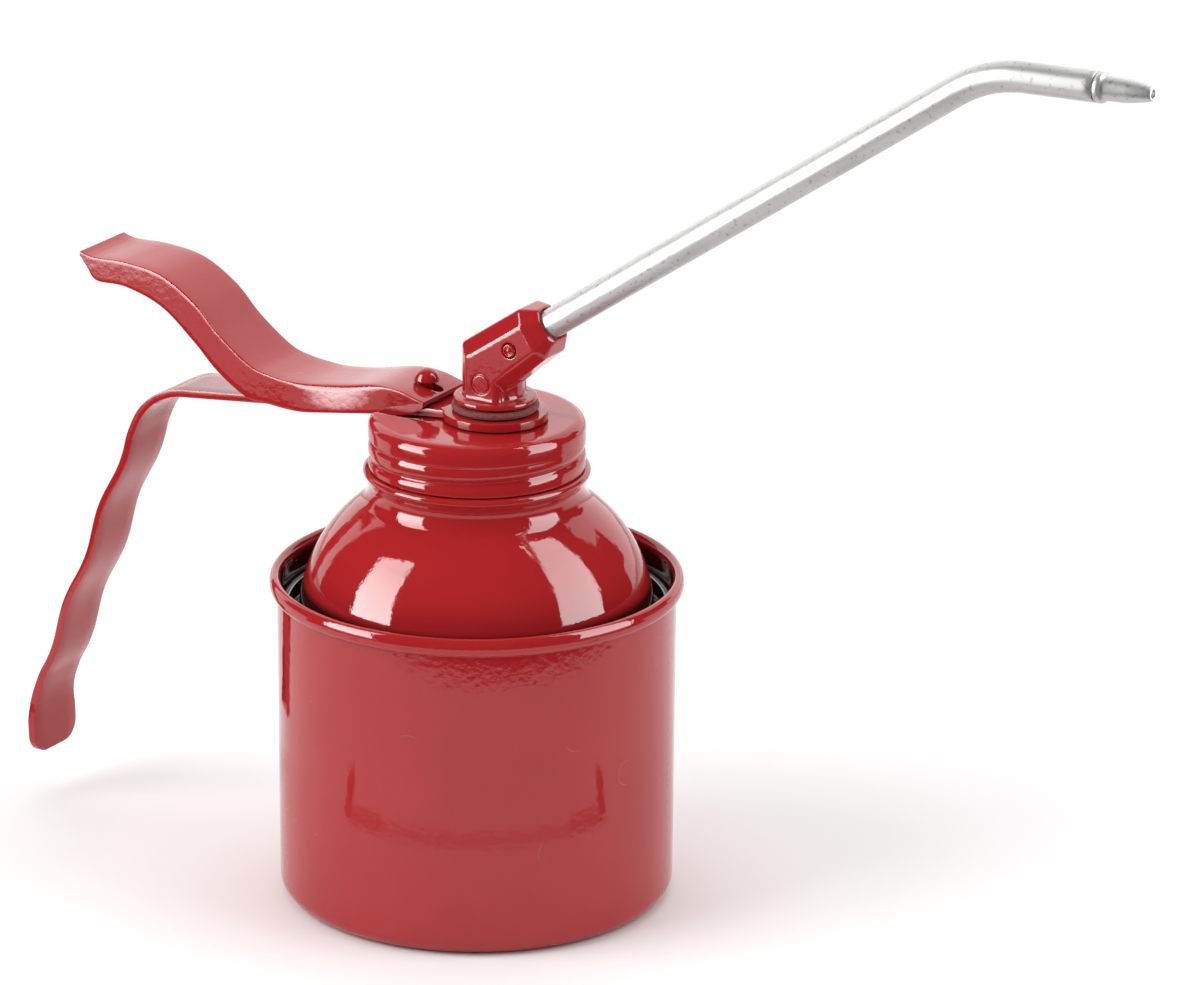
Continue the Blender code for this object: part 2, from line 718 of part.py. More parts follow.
def thumb_lever(parent):
    half = STRAP_WIDTH / 2 + SIDE_CLEARANCE + LEVER_SHEET
    flat = half - LEVER_FOLD
    rows = []
    for x, top, depth in reversed(lever_stations()):
        drop = min(LEVER_FOLD, depth * LEVER_FOLD / (LEVER_FOLD + LEVER_SHEET / 2))
        turns = (0, math.pi / 4, math.pi / 2)
        fold = [(flat + LEVER_FOLD * math.sin(a), drop * (1 - math.cos(a))) for a in turns]
        side = fold + [(half, depth)]
        row = [(x, y, top - down) for y, down in reversed(side)] + [(x, -y, top - down) for y, down in side]
        rows.append(row)
    lever = lofted("thumb_lever", rows, red_enamel("thumb_lever"), (RIB_X, 0, FULCRUM), parent)
    thicken(lever, LEVER_SHEET)
    slot = ROD_RADIUS + SEAT_GAP
    back = ROD_X - RIB_X - slot_travel()
    nose = LEVER_NOSE + CUT_OVERRUN
    outline = [(nose, slot), (nose, -slot)] + arc((back, 0.0), slot, 270, 90, 7)
    fork = flat_outline("fork_cut", outline, LEVER_RISE, None, (RIB_X, 0, FULCRUM), parent)
    fork.rotation_euler = (-math.pi / 2, 0, 0)
    cut(lever, fork)
    return lever


def slot_travel():
    """How far the web draws back past the rod when the lever is pressed home."""
    return web_height(ROD_X - RIB_X) * math.sin(LEVER_TRAVEL) + ROD_RADIUS


def piston_rod(parent):
    rear_edge = ROD_X - RIB_X - ROD_HEAD
    head_base = FULCRUM + max(web_height(rear_edge), web_height(rear_edge + ROD_HEAD)) + SEAT_GAP
    outline = [(0.0, head_base + ROD_HEAD)]
    outline += arc((0.0, head_base), ROD_HEAD, 90, 0, 6)[1:]
    outline += [
        (ROD_RADIUS, head_base),
        (ROD_RADIUS, PISTON_TOP + SEAT_GAP),
        (ROD_TIP, PISTON_TOP + SEAT_GAP),
        (ROD_TIP, NUT_BASE - SEAT_GAP),
        (0.0, NUT_BASE - SEAT_GAP),
    ]
    return turned("piston_rod", outline, bright_steel("piston_rod"), (0, 0, 0), parent, steps=SMALL_STEPS)


def chamfered(half_long, half_wide, front, rear_long, rear_wide):
    """A rectangle along X with its corners cut off, the rear ones by one length along X and one across."""
    front_wide = half_wide - front
    return [
        (half_long, -front_wide), (half_long, front_wide), (half_long - front, half_wide),
        (rear_long - half_long, half_wide), (-half_long, half_wide - rear_wide),
        (-half_long, rear_wide - half_wide), (rear_long - half_long, -half_wide),
        (half_long - front, -half_wide),
    ]


def bar_of(name, outline, low, high, material, location, parent):
    """A bar along Z from low to high whose section is the outline in X and Y."""
    middle = (low + high) / 2
    lift = Matrix.Translation((0, 0, middle))
    return flat_outline(name, outline, (high - low) / 2, material, location, parent, lift)


def taper_barrel(obj, full_end):
    """Draw the end of the barrel in to its nose, and let its underside drop towards the column."""
    solid = bmesh.new()
    solid.from_mesh(obj.data)
    end = max(solid.faces, key=lambda face: face.calc_center_median().z)
    for vert in solid.verts:
        if vert.co.x > 0:
            vert.co.x += (full_end - vert.co.z) * math.tan(BARREL_DRAFT)
    nose = bmesh.ops.extrude_face_region(solid, geom=[end])
    solid.faces.remove(end)
    for vert in (item for item in nose["geom"] if isinstance(item, bmesh.types.BMVert)):
        vert.co = (vert.co.x * NOSE_END_SHARE, vert.co.y * NOSE_END_SHARE, full_end + BARREL_NOSE)
    bmesh.ops.recalc_face_normals(solid, faces=solid.faces)
    solid.to_mesh(obj.data)
    solid.free()
    finish_mesh(obj.data)


def barrel_bar(name, radius, start, end, parent, steps=SMALL_STEPS):
    """A round bar on the barrel's axis, from start to end past the turn."""
    bar = rod_cutter(name, radius, start, end, (RISER_X, 0, BARREL_TURN), parent, steps=steps)
    bar.rotation_euler = (0, math.pi / 2 - BARREL_RISE, 0)
    return bar


def elbow_column(parent):
    """Flat-sided rear of the column, from inside the flange up to where the barrel covers it."""
    middle = (ELBOW_PAD - ELBOW_REAR) / 2
    half = (ELBOW_PAD + ELBOW_REAR) / 2
    outline = chamfered(half, ELBOW_HALF_WIDTH, ELBOW_PAD_CHAMFER, ELBOW_CHAMFER, ELBOW_CHAMFER)
    place = (RISER_X + middle, 0, 0)
    foot = FLANGE_BASE + FLANGE_THICKNESS / 2
    return bar_of("elbow_column", outline, foot, FLANGE_TOP + ELBOW_REAR_HEIGHT, None, place, parent)


def elbow_rear(parent):
    """A block whose rear, with its chamfers, limits the barrel to the rear of the column."""
    side = ELBOW_HALF_WIDTH + CUT_OVERRUN
    chamfer_start = ELBOW_HALF_WIDTH - ELBOW_CHAMFER
    shoulder = side - chamfer_start - ELBOW_REAR
    front = BARREL_LENGTH + CUT_OVERRUN
    outline = [
        (-ELBOW_REAR, -chamfer_start), (shoulder, -side), (front, -side),
        (front, side), (shoulder, side), (-ELBOW_REAR, chamfer_start),
    ]
    return bar_of(
        "elbow_rear", outline, FLANGE_TOP, BARREL_TURN + BARREL_LENGTH, None, (RISER_X, 0, 0), parent,
    )


def spout_elbow(parent):
    here = (RISER_X, 0, 0)
    column_top = BARREL_TURN - BARREL_HALF_HEIGHT / 4
    base = [
        (0.0, column_top), (COLUMN_RADIUS, column_top), (COLUMN_RADIUS, FLANGE_TOP),
        (FLANGE_RADIUS, FLANGE_TOP), (FLANGE_RADIUS, FLANGE_BASE), (SHANK_RADIUS, FLANGE_BASE),
        (SHANK_RADIUS, SHANK_END), (0.0, SHANK_END),
    ]
    elbow = turned("spout_elbow", base, red_enamel("spout_elbow"), here, parent)
    section = chamfered(
        BARREL_HALF_HEIGHT, ELBOW_HALF_WIDTH, ELBOW_CHAMFER, BARREL_TOP_CHAMFER, ELBOW_CHAMFER,
    )
    behind_rear = ELBOW_REAR + JOIN_OVERLAP - BARREL_HALF_HEIGHT * math.sin(BARREL_RISE)
    full_end = BARREL_LENGTH - BARREL_NOSE
    barrel = bar_of(
        "elbow_barrel", section, -behind_rear / math.cos(BARREL_RISE), full_end, None,
        (RISER_X, 0, BARREL_TURN), parent,
    )
    taper_barrel(barrel, full_end)
    barrel.rotation_euler = (0, math.pi / 2 - BARREL_RISE, 0)
    boolean(barrel, elbow_rear(parent), "INTERSECT")
    join(elbow, elbow_column(parent), barrel)
    plug_hole = rod_cutter(
        "plug_hole", PLUG_RADIUS + SEAT_GAP, ELBOW_BORE / 2, ELBOW_HALF_WIDTH + CUT_OVERRUN,
        plug_place(0.0), parent,
    )
    plug_hole.rotation_euler = (math.pi / 2, 0, 0)
    cut(
        elbow,
        rod_cutter("riser_bore", ELBOW_BORE, SHANK_END - CUT_OVERRUN, BARREL_TURN, here, parent),
        barrel_bar("barrel_bore", ELBOW_BORE, -ELBOW_BORE, BARREL_LENGTH + CUT_OVERRUN, parent),
        barrel_bar(
            "spout_socket", SPOUT_RADIUS + SEAT_GAP, BARREL_LENGTH - SPOUT_SOCKET - SEAT_GAP,
            BARREL_LENGTH + CUT_OVERRUN, parent,
        ),
        plug_hole,
    )
    return elbow


def plug_place(y):
    """Where the plug's axis crosses a plane of constant Y."""
    return (
        RISER_X + PLUG_ALONG * math.cos(BARREL_RISE) + PLUG_DROP * math.sin(BARREL_RISE),
        y,
        BARREL_TURN + PLUG_ALONG * math.sin(BARREL_RISE) - PLUG_DROP * math.cos(BARREL_RISE),
    )


def elbow_plug(parent):
    seat = ELBOW_BORE + SEAT_GAP
    length = ELBOW_HALF_WIDTH - seat
    outline = [(0.0, length + PLUG_PROUD), (PLUG_RADIUS / 2, length + PLUG_PROUD * PLUG_CROWN_SHARE)]
    outline += [(PLUG_RADIUS, length), (PLUG_RADIUS, 0.0), (0.0, 0.0)]
    plug = turned(
        "elbow_plug", outline, red_enamel("elbow_plug"), plug_place(-seat), parent, steps=SMALL_STEPS,
    )
    plug.rotation_euler = (math.pi / 2, 0, 0)
    return plug


def elbow_gasket(parent):
    return washer(
        "elbow_gasket", SHANK_RADIUS + SEAT_GAP, ELBOW_GASKET_RADIUS, ELBOW_GASKET_BASE,
        ELBOW_GASKET_THICKNESS, red_fibre("elbow_gasket"), (RISER_X, 0, 0), parent,
    )


def spout_route(extra):
    """Middle line of the spout in X and Z about the barrel's turn, run on at both ends by extra."""
    rise = Vector((math.cos(BARREL_RISE), math.sin(BARREL_RISE)))
    start = rise * (BARREL_LENGTH - SPOUT_SOCKET - extra)
    bend_start = rise * (BARREL_LENGTH + SPOUT_STRAIGHT)
    centre = bend_start + Vector((rise.y, -rise.x)) * SPOUT_BEND
    first = 90 + math.degrees(BARREL_RISE)
    last = 90 + math.degrees(SPOUT_END_RISE)
    points = [start] + [Vector(p) for p in arc(centre, SPOUT_BEND, first, last, 8)]
    heading = Vector((math.cos(SPOUT_END_RISE), math.sin(SPOUT_END_RISE)))
    points.append(points[-1] + heading * (SPOUT_END_LENGTH + extra))
    return [(p.x, 0.0, p.y) for p in points]


def spout_tube(parent):
    here = (RISER_X, 0, BARREL_TURN)
    tube = tube_along(
        "spout_tube", spout_route(0.0), SPOUT_RADIUS, 6, bare_aluminium("spout_tube"), here, parent,
    )
    cut(tube, tube_along("spout_bore", spout_route(CUT_OVERRUN), SPOUT_BORE, 4, None, here, parent))
    return tube


def nozzle_tip(parent):
    spigot = SPOUT_BORE - SEAT_GAP
    bore = spigot / 2
    tip = JET_LENGTH
    outline = [
        (JET_HOLE, tip), (JET_END_RADIUS, tip),
        (JET_BARREL_RADIUS * JET_TAPER_SHARE, JET_BARREL_LENGTH + JET_SHOULDER),
        (JET_BARREL_RADIUS, JET_SHOULDER + JET_SHOULDER / 2),
        (SPOUT_RADIUS, JET_SHOULDER), (SPOUT_RADIUS, SEAT_GAP),
        (spigot, SEAT_GAP), (spigot, -JET_SPIGOT), (bore, -JET_SPIGOT),
        (bore, JET_BARREL_LENGTH), (JET_HOLE, JET_BARREL_LENGTH + bore),
    ]
    end = spout_route(0.0)[-1]
    here = (RISER_X + end[0], 0, BARREL_TURN + end[2])
    jet = turned(
        "nozzle_tip", outline, bare_aluminium("nozzle_tip"), here, parent, ring=True, steps=SMALL_STEPS,
    )
    jet.rotation_euler = (0, math.pi / 2 - SPOUT_END_RISE, 0)
    return jet


def pump_gasket(parent):
    return washer(
        "pump_gasket", SHANK_RADIUS + SEAT_GAP, PUMP_GASKET_RADIUS, RISER_TOP + SEAT_GAP,
        PUMP_GASKET_THICKNESS, red_fibre("pump_gasket"), (RISER_X, 0, 0), parent,
    )


def pump_body(parent):
    riser = (RISER_X, 0, 0)
    rod = (ROD_X, 0, 0)
    boss = CYLINDER_RADIUS + SEAT_GAP + CYLINDER_BOSS_WALL
    socket_end = CYLINDER_TOP - CYLINDER_SOCKET
    body = turned(
        "pump_body",
        [(0.0, RISER_TOP), (RISER_RADIUS, RISER_TOP), (RISER_RADIUS, RISER_BASE), (0.0, RISER_BASE)],
        cast_zinc("pump_body"), riser, parent,
    )
    web_top = HEAD_TOP - JOIN_OVERLAP
    web = flat_outline(
        "body_web",
        [
            (ROD_X, web_top), (ROD_X, web_top - BODY_WEB_DEPTH),
            (RISER_X, RISER_BASE + RISER_FLOOR / 2), (RISER_X, web_top),
        ],
        BODY_WEB_WIDTH / 2, None, (0, 0, 0), parent,
    )
    join(
        body, web,
        turned(
            "cylinder_boss", [(0.0, HEAD_TOP), (boss, HEAD_TOP), (boss, socket_end), (0.0, socket_end)],
            None, rod, parent, steps=FINE_STEPS,
        ),
    )
    seat = DELIVERY_SEAT
    flare = BALL_CHAMBER - SEAT_BORE
    riser_bore = [
        (0.0, RISER_TOP + CUT_OVERRUN), (SHANK_RADIUS + SEAT_GAP, RISER_TOP + CUT_OVERRUN),
        (SHANK_RADIUS + SEAT_GAP, SHANK_END - SEAT_GAP), (BALL_CHAMBER, SHANK_END - SEAT_GAP),
        (BALL_CHAMBER, seat + flare), (SEAT_BORE, seat),
        (SEAT_BORE, RISER_BASE + RISER_FLOOR), (0.0, RISER_BASE + RISER_FLOOR),
    ]
    gland = GLAND_RADIUS + SEAT_GAP
    low = socket_end - CUT_OVERRUN
    head_bore = [
        (0.0, HEAD_TOP + CUT_OVERRUN), (gland, HEAD_TOP + CUT_OVERRUN), (gland, GLAND_RECESS),
        (ROD_RADIUS + SEAT_GAP, GLAND_RECESS), (ROD_RADIUS + SEAT_GAP, CHAMBER_TOP),
        (CYLINDER_BORE, CHAMBER_TOP), (CYLINDER_BORE, CYLINDER_TOP + SEAT_GAP),
        (CYLINDER_RADIUS + SEAT_GAP, CYLINDER_TOP + SEAT_GAP), (CYLINDER_RADIUS + SEAT_GAP, low), (0.0, low),
    ]
    way_start = Vector((ROD_X, 0, CHAMBER_TOP - HEAD_CHAMBER / 2))
    way_end = Vector((RISER_X, 0, RISER_BASE + RISER_FLOOR + SEAT_BORE))
    way = tube_along("oil_way", [way_start, way_end], OIL_WAY, 2, None, (0, 0, 0), parent)
    cut(
        body,
        turned("riser_bores", riser_bore, None, riser, parent, steps=SMALL_STEPS, spin=CUTTER_SPIN_SHARE),
        turned("head_bores", head_bore, None, rod, parent, steps=FINE_STEPS, spin=CUTTER_SPIN_SHARE),
        way,
    )
    return body


def rod_gland(parent):
    base = HEAD_TOP - SEAT_GAP - GLAND_LENGTH
    return washer(
        "rod_gland", ROD_RADIUS + SLIDE_CLEARANCE, GLAND_RADIUS, base, GLAND_LENGTH,
        drawn_brass("rod_gland"), (ROD_X, 0, 0), parent, steps=SMALL_STEPS,
    )


def gland_packing(parent):
    return washer(
        "gland_packing", ROD_RADIUS + SLIDE_CLEARANCE, GLAND_RADIUS, GLAND_RECESS + SEAT_GAP, PACKING_LENGTH,
        black_rubber("gland_packing"), (ROD_X, 0, 0), parent, steps=SMALL_STEPS,
    )


def pump_cylinder(parent):
    return washer(
        "pump_cylinder", CYLINDER_BORE, CYLINDER_RADIUS, CYLINDER_END, CYLINDER_LENGTH,
        drawn_brass("pump_cylinder"), (ROD_X, 0, 0), parent, steps=FINE_STEPS,
    )


def piston(parent):
    return washer(
        "piston", ROD_TIP + SEAT_GAP, CYLINDER_BORE - SLIDE_CLEARANCE, PISTON_BASE, PISTON_LENGTH,
        drawn_brass("piston"), (0, 0, 0), parent, steps=FINE_STEPS,
    )


def piston_cup(parent):
    outer = CYLINDER_BORE - SLIDE_CLEARANCE
    floor = LEATHER_TOP - CUP_LEATHER_WALL
    outline = [
        (ROD_TIP + SEAT_GAP, LEATHER_TOP), (outer - CUP_LEATHER_WALL / 2, LEATHER_TOP),
        (outer, floor), (outer, LEATHER_BASE), (outer - CUP_LEATHER_WALL, LEATHER_BASE),
        (outer - CUP_LEATHER_WALL, floor), (ROD_TIP + SEAT_GAP, floor),
    ]
    return turned(
        "piston_cup", outline, black_rubber("piston_cup"), (0, 0, 0), parent, ring=True, steps=FINE_STEPS,
    )


def piston_nut(parent):
    top = LEATHER_TOP - CUP_LEATHER_WALL - SEAT_GAP
    outline = [(0.0, top), (PISTON_NUT_RADIUS, top), (PISTON_NUT_RADIUS, NUT_BASE), (0.0, NUT_BASE)]
    nut = turned("piston_nut", outline, bright_steel("piston_nut"), (0, 0, 0), parent, steps=6)
    low = NUT_BASE - CUT_OVERRUN
    cut(nut, rod_cutter("nut_bore", ROD_TIP + SEAT_GAP, low, top + CUT_OVERRUN, (0, 0, 0), parent))
    return nut


def coil(name, mean_radius, wire, turns, base, top, material, location, parent):
    """A compression spring of round wire between two heights."""
    low = base + wire
    rise = top - base - 2 * wire
    count = turns * TURN_POINTS
    points = []
    for index in range(count + 1):
        angle = math.tau * index / TURN_POINTS
        height = low + rise * index / count
        points.append((mean_radius * math.cos(angle), mean_radius * math.sin(angle), height))
    return tube_along(name, points, wire, 1, material, location, parent)


def return_spring(parent):
    mean = CYLINDER_BORE - SEAT_GAP - RETURN_WIRE
    return coil(
        "return_spring", mean, RETURN_WIRE, RETURN_TURNS, PISTON_TOP + SEAT_GAP, CHAMBER_TOP - SEAT_GAP,
        bright_steel("return_spring"), (ROD_X, 0, 0), parent,
    )


def ball_on_seat(seat):
    """Height of a ball's centre on a seat that flares at 45 degrees, just clear of it."""
    return seat + (BALL_RADIUS + BALL_CLEARANCE) * math.sqrt(2) - SEAT_BORE


def ball(name, centre, location, parent):
    outline = arc((0.0, 0.0), BALL_RADIUS, 90, -90, 7)
    outline[0] = (0.0, BALL_RADIUS)
    outline[-1] = (0.0, -BALL_RADIUS)
    x, y, z = location
    return turned(name, outline, bright_steel(name), (x, y, z + centre), parent, steps=12)


def delivery_spring(parent):
    mean = BALL_CHAMBER - SEAT_GAP - DELIVERY_WIRE
    return coil(
        "delivery_spring", mean, DELIVERY_WIRE, DELIVERY_TURNS,
        ball_on_seat(DELIVERY_SEAT) + BALL_RADIUS * SPRING_REST_SHARE, SHANK_END - SEAT_GAP,
        bright_steel("delivery_spring"), (RISER_X, 0, 0), parent,
    )


def foot_valve(parent):
    spigot = CYLINDER_BORE - SEAT_GAP
    chamber_top = ball_on_seat(FOOT_SEAT) + BALL_RADIUS + FOOT_CAGE_LIFT + SEAT_GAP
    top = max(FOOT_SHOULDER + FOOT_SPIGOT_LENGTH, chamber_top + FOOT_ROOF)
    socket = DIP_RADIUS + SEAT_GAP
    outline = [
        (SEAT_BORE, top), (spigot, top), (spigot, FOOT_SHOULDER), (CYLINDER_RADIUS, FOOT_SHOULDER),
        (CYLINDER_RADIUS, FOOT_BASE), (socket, FOOT_BASE), (socket, FOOT_BASE + DIP_SOCKET),
        (SEAT_BORE, FOOT_BASE + DIP_SOCKET), (SEAT_BORE, FOOT_SEAT),
        (BALL_CHAMBER, FOOT_SEAT + BALL_CHAMBER - SEAT_BORE), (BALL_CHAMBER, chamber_top),
        (SEAT_BORE, chamber_top),
    ]
    return turned(
        "foot_valve", outline, drawn_brass("foot_valve"), (ROD_X, 0, 0), parent, ring=True, steps=FINE_STEPS,
    )


def dip_tube(parent):
    low = FLOOR_CLEARANCE + CUP_WALL + STRAINER_WALL + SEAT_GAP - CAP_SEAT_Z
    high = FOOT_BASE + DIP_SOCKET - SEAT_GAP
    return washer(
        "dip_tube", DIP_RADIUS - DIP_WALL, DIP_RADIUS, low, high - low,
        bare_aluminium("dip_tube"), (ROD_X, 0, 0), parent, steps=SMALL_STEPS,
    )


def strainer(parent):
    low = FLOOR_CLEARANCE + CUP_WALL - CAP_SEAT_Z
    neck = DIP_RADIUS + SEAT_GAP
    top = low + STRAINER_LENGTH
    outline = [
        (neck, top), (neck + STRAINER_WALL, top), (STRAINER_RADIUS, top - STRAINER_RADIUS / 2),
        (STRAINER_RADIUS, low), (0.0, low), (0.0, low + STRAINER_WALL),
        (STRAINER_RADIUS - STRAINER_WALL, low + STRAINER_WALL),
        (STRAINER_RADIUS - STRAINER_WALL, top - STRAINER_RADIUS / 2 - STRAINER_WALL),
        (neck, top - STRAINER_WALL),
    ]
    cage = turned(
        "strainer", outline, drawn_brass("strainer"), (ROD_X, 0, 0), parent, ring=True, steps=SMALL_STEPS,
    )
    for index in range(2):
        hole = rod_cutter(
            "strainer_hole_%d" % index, STRAINER_HOLE, -STRAINER_RADIUS - CUT_OVERRUN,
            STRAINER_RADIUS + CUT_OVERRUN, (ROD_X, 0, low + STRAINER_LENGTH / 3), parent, steps=12,
        )
        hole.rotation_euler = (math.pi / 2, 0, math.pi * index / 2)
        cut(cage, hole)
    return cage


def build():
    can = empty("can_frame", (0, 0, 0))
    cup_body(can)
    dome_shoulder(can)
    cap_axis = empty("cap_axis", (0, 0, CAP_SEAT_Z), can)
    for piece in (
        screw_cap, cap_gasket, handle_strap, thumb_lever, spout_elbow, elbow_plug, elbow_gasket, spout_tube,
        nozzle_tip, pump_gasket, pump_body, rod_gland, gland_packing, pump_cylinder, return_spring,
        delivery_spring, foot_valve, dip_tube, strainer,
    ):
        piece(cap_axis)
    rod_axis = empty("rod_axis", (ROD_X, 0, 0), cap_axis)
    for piece in (piston_rod, piston, piston_cup, piston_nut):
        piece(rod_axis)
    ball("delivery_ball", ball_on_seat(DELIVERY_SEAT), (RISER_X, 0, 0), cap_axis)
    ball("suction_ball", ball_on_seat(FOOT_SEAT), (ROD_X, 0, 0), cap_axis)


build()
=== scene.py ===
"""Looks of a pump oil can: red enamelled sheet steel, a painted casting and a bare aluminium spout.

Sizes are in millimetres. mesh_of() turns them into metres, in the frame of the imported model.
"""

import json
import math

import bmesh
import bpy
from mathutils import Matrix, Vector
from mathutils.kdtree import KDTree


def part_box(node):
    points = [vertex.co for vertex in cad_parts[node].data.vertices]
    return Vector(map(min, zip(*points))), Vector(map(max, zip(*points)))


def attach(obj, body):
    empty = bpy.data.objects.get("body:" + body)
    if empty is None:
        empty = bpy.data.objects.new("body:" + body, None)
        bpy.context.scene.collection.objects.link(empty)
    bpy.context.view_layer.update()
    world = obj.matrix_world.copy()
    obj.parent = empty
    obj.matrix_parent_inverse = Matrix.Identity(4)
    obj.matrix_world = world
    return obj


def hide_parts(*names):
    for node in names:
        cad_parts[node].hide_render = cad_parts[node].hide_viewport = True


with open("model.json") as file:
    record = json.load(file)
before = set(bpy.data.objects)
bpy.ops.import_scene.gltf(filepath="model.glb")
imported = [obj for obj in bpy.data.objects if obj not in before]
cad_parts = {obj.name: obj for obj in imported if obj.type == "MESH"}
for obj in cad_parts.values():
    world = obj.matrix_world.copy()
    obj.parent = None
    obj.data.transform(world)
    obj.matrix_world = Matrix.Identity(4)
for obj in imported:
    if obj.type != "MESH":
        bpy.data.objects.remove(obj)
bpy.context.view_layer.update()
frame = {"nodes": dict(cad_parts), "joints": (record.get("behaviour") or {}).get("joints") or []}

MM = 0.001
# Sides of round pieces: the can's own, the casting's and rod's, the tube's and plug's
ROUND = 192
FINE = 64
TUBE_SIDES = 48
# Between pieces that are made apart
CLEARANCE = 0.3

# Photograph: where its camera stands about the can, in degrees and millimetres
VIEW_AZIMUTH = 31.5
VIEW_ELEVATION = 18.95
VIEW_ROLL = 0.33
VIEW_DISTANCE = 1655.0
AIM_HEIGHT = 56.5
AIM_RIGHT = 22.63
AIM_UP = 26.1
LENS = 251.8

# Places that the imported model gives
JOINTS = {joint["name"]: joint for joint in frame["joints"]}


def box_mm(node):
    """Lowest and highest corner of a node of the model, in millimetres."""
    return tuple(Vector(corner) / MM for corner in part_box(node))


SEAT = JOINTS["cap_turn"]["pos_m"][2] / MM
FULCRUM = Vector(JOINTS["lever_rock"]["pos_m"]) / MM
LUG_TOP = box_mm("handle_strap")[1].z
GASKET_LOW, GASKET_HIGH = (corner.z for corner in box_mm("elbow_gasket"))
RISER_X = (box_mm("elbow_gasket")[0].x + box_mm("elbow_gasket")[1].x) / 2
ROD_X = (box_mm("piston_rod")[0].x + box_mm("piston_rod")[1].x) / 2
FLANGE_LOW = GASKET_HIGH + CLEARANCE
FLANGE_TOP = FLANGE_LOW + 1.2
BARREL_TURN = Vector((RISER_X, 0.0, FLANGE_TOP + 7.8))
BARREL_RISE = math.radians(34.5)
BARREL_LENGTH = 16.1
ALONG_BARREL = Vector((math.cos(BARREL_RISE), 0.0, math.sin(BARREL_RISE)))
ABOVE_BARREL = Vector((-math.sin(BARREL_RISE), 0.0, math.cos(BARREL_RISE)))


def linear(colour):
    """Linear red, green, blue and 1 of an sRGB hex colour."""
    parts = [int(colour[index:index + 2], 16) / 255 for index in (1, 3, 5)]
    return (*[c / 12.92 if c <= 0.04045 else ((c + 0.055) / 1.055) ** 2.4 for c in parts], 1.0)


def per_mm(size):
    """Scale of a pattern whose features are that many millimetres apart."""
    return 1.0 / (size * MM)


def add(tree, kind, inputs=None, **settings):
    """Add a node with its settings, and its inputs as values or as links from other nodes."""
    node = tree.nodes.new(kind)
    for name, value in settings.items():
        setattr(node, name, value)
    for name, value in (inputs or {}).items():
        socket = node.inputs[name]
        if isinstance(value, bpy.types.NodeSocket):
            tree.links.new(value, socket)
        else:
            socket.default_value = value
    return node


def new_material(name):
    """An empty material and its node tree."""
    material = bpy.data.materials.new(name)
    material.use_nodes = True
    material.node_tree.nodes.clear()
    return material, material.node_tree


def finish_material(tree, shader):
    """Lead a shader to the material's output."""
    add(tree, "ShaderNodeOutputMaterial", {"Surface": shader.outputs[0]})


ENAMEL_RED = "#ad272a"
ENAMEL_DEEP = "#9e1f23"
ENAMEL_DUST = "#e3b9b2"
ENAMEL_CHIP = "#3a1413"
# Painted shade: the dark red of the gutter between the cup and the dome
GUTTER_SHADE_COLOUR = "#2a1312"
# Spacings are in millimetres, and sizes of specks and scratches are shares of their spacing
CLOUD_SPACING = 22
SPECK_SPACING = 6
SPECK_SIZE = 0.018
SCRATCH_SPACING = 11
SCRATCH_RADIUS = 0.42
SCRATCH_WIDTH = 0.0024
SCRATCH_PATCH = 10
CHIP_SPACING = 2.4
# Heights on the cup between which the painted shade in the gutter starts to show inside it
GUTTER_SHADE_FROM = 50
GUTTER_SHADE_FULL = 55
PEEL_SPACING = 1.5
PEEL_RELIEF = 0.00003
SAG_SPACING = 7


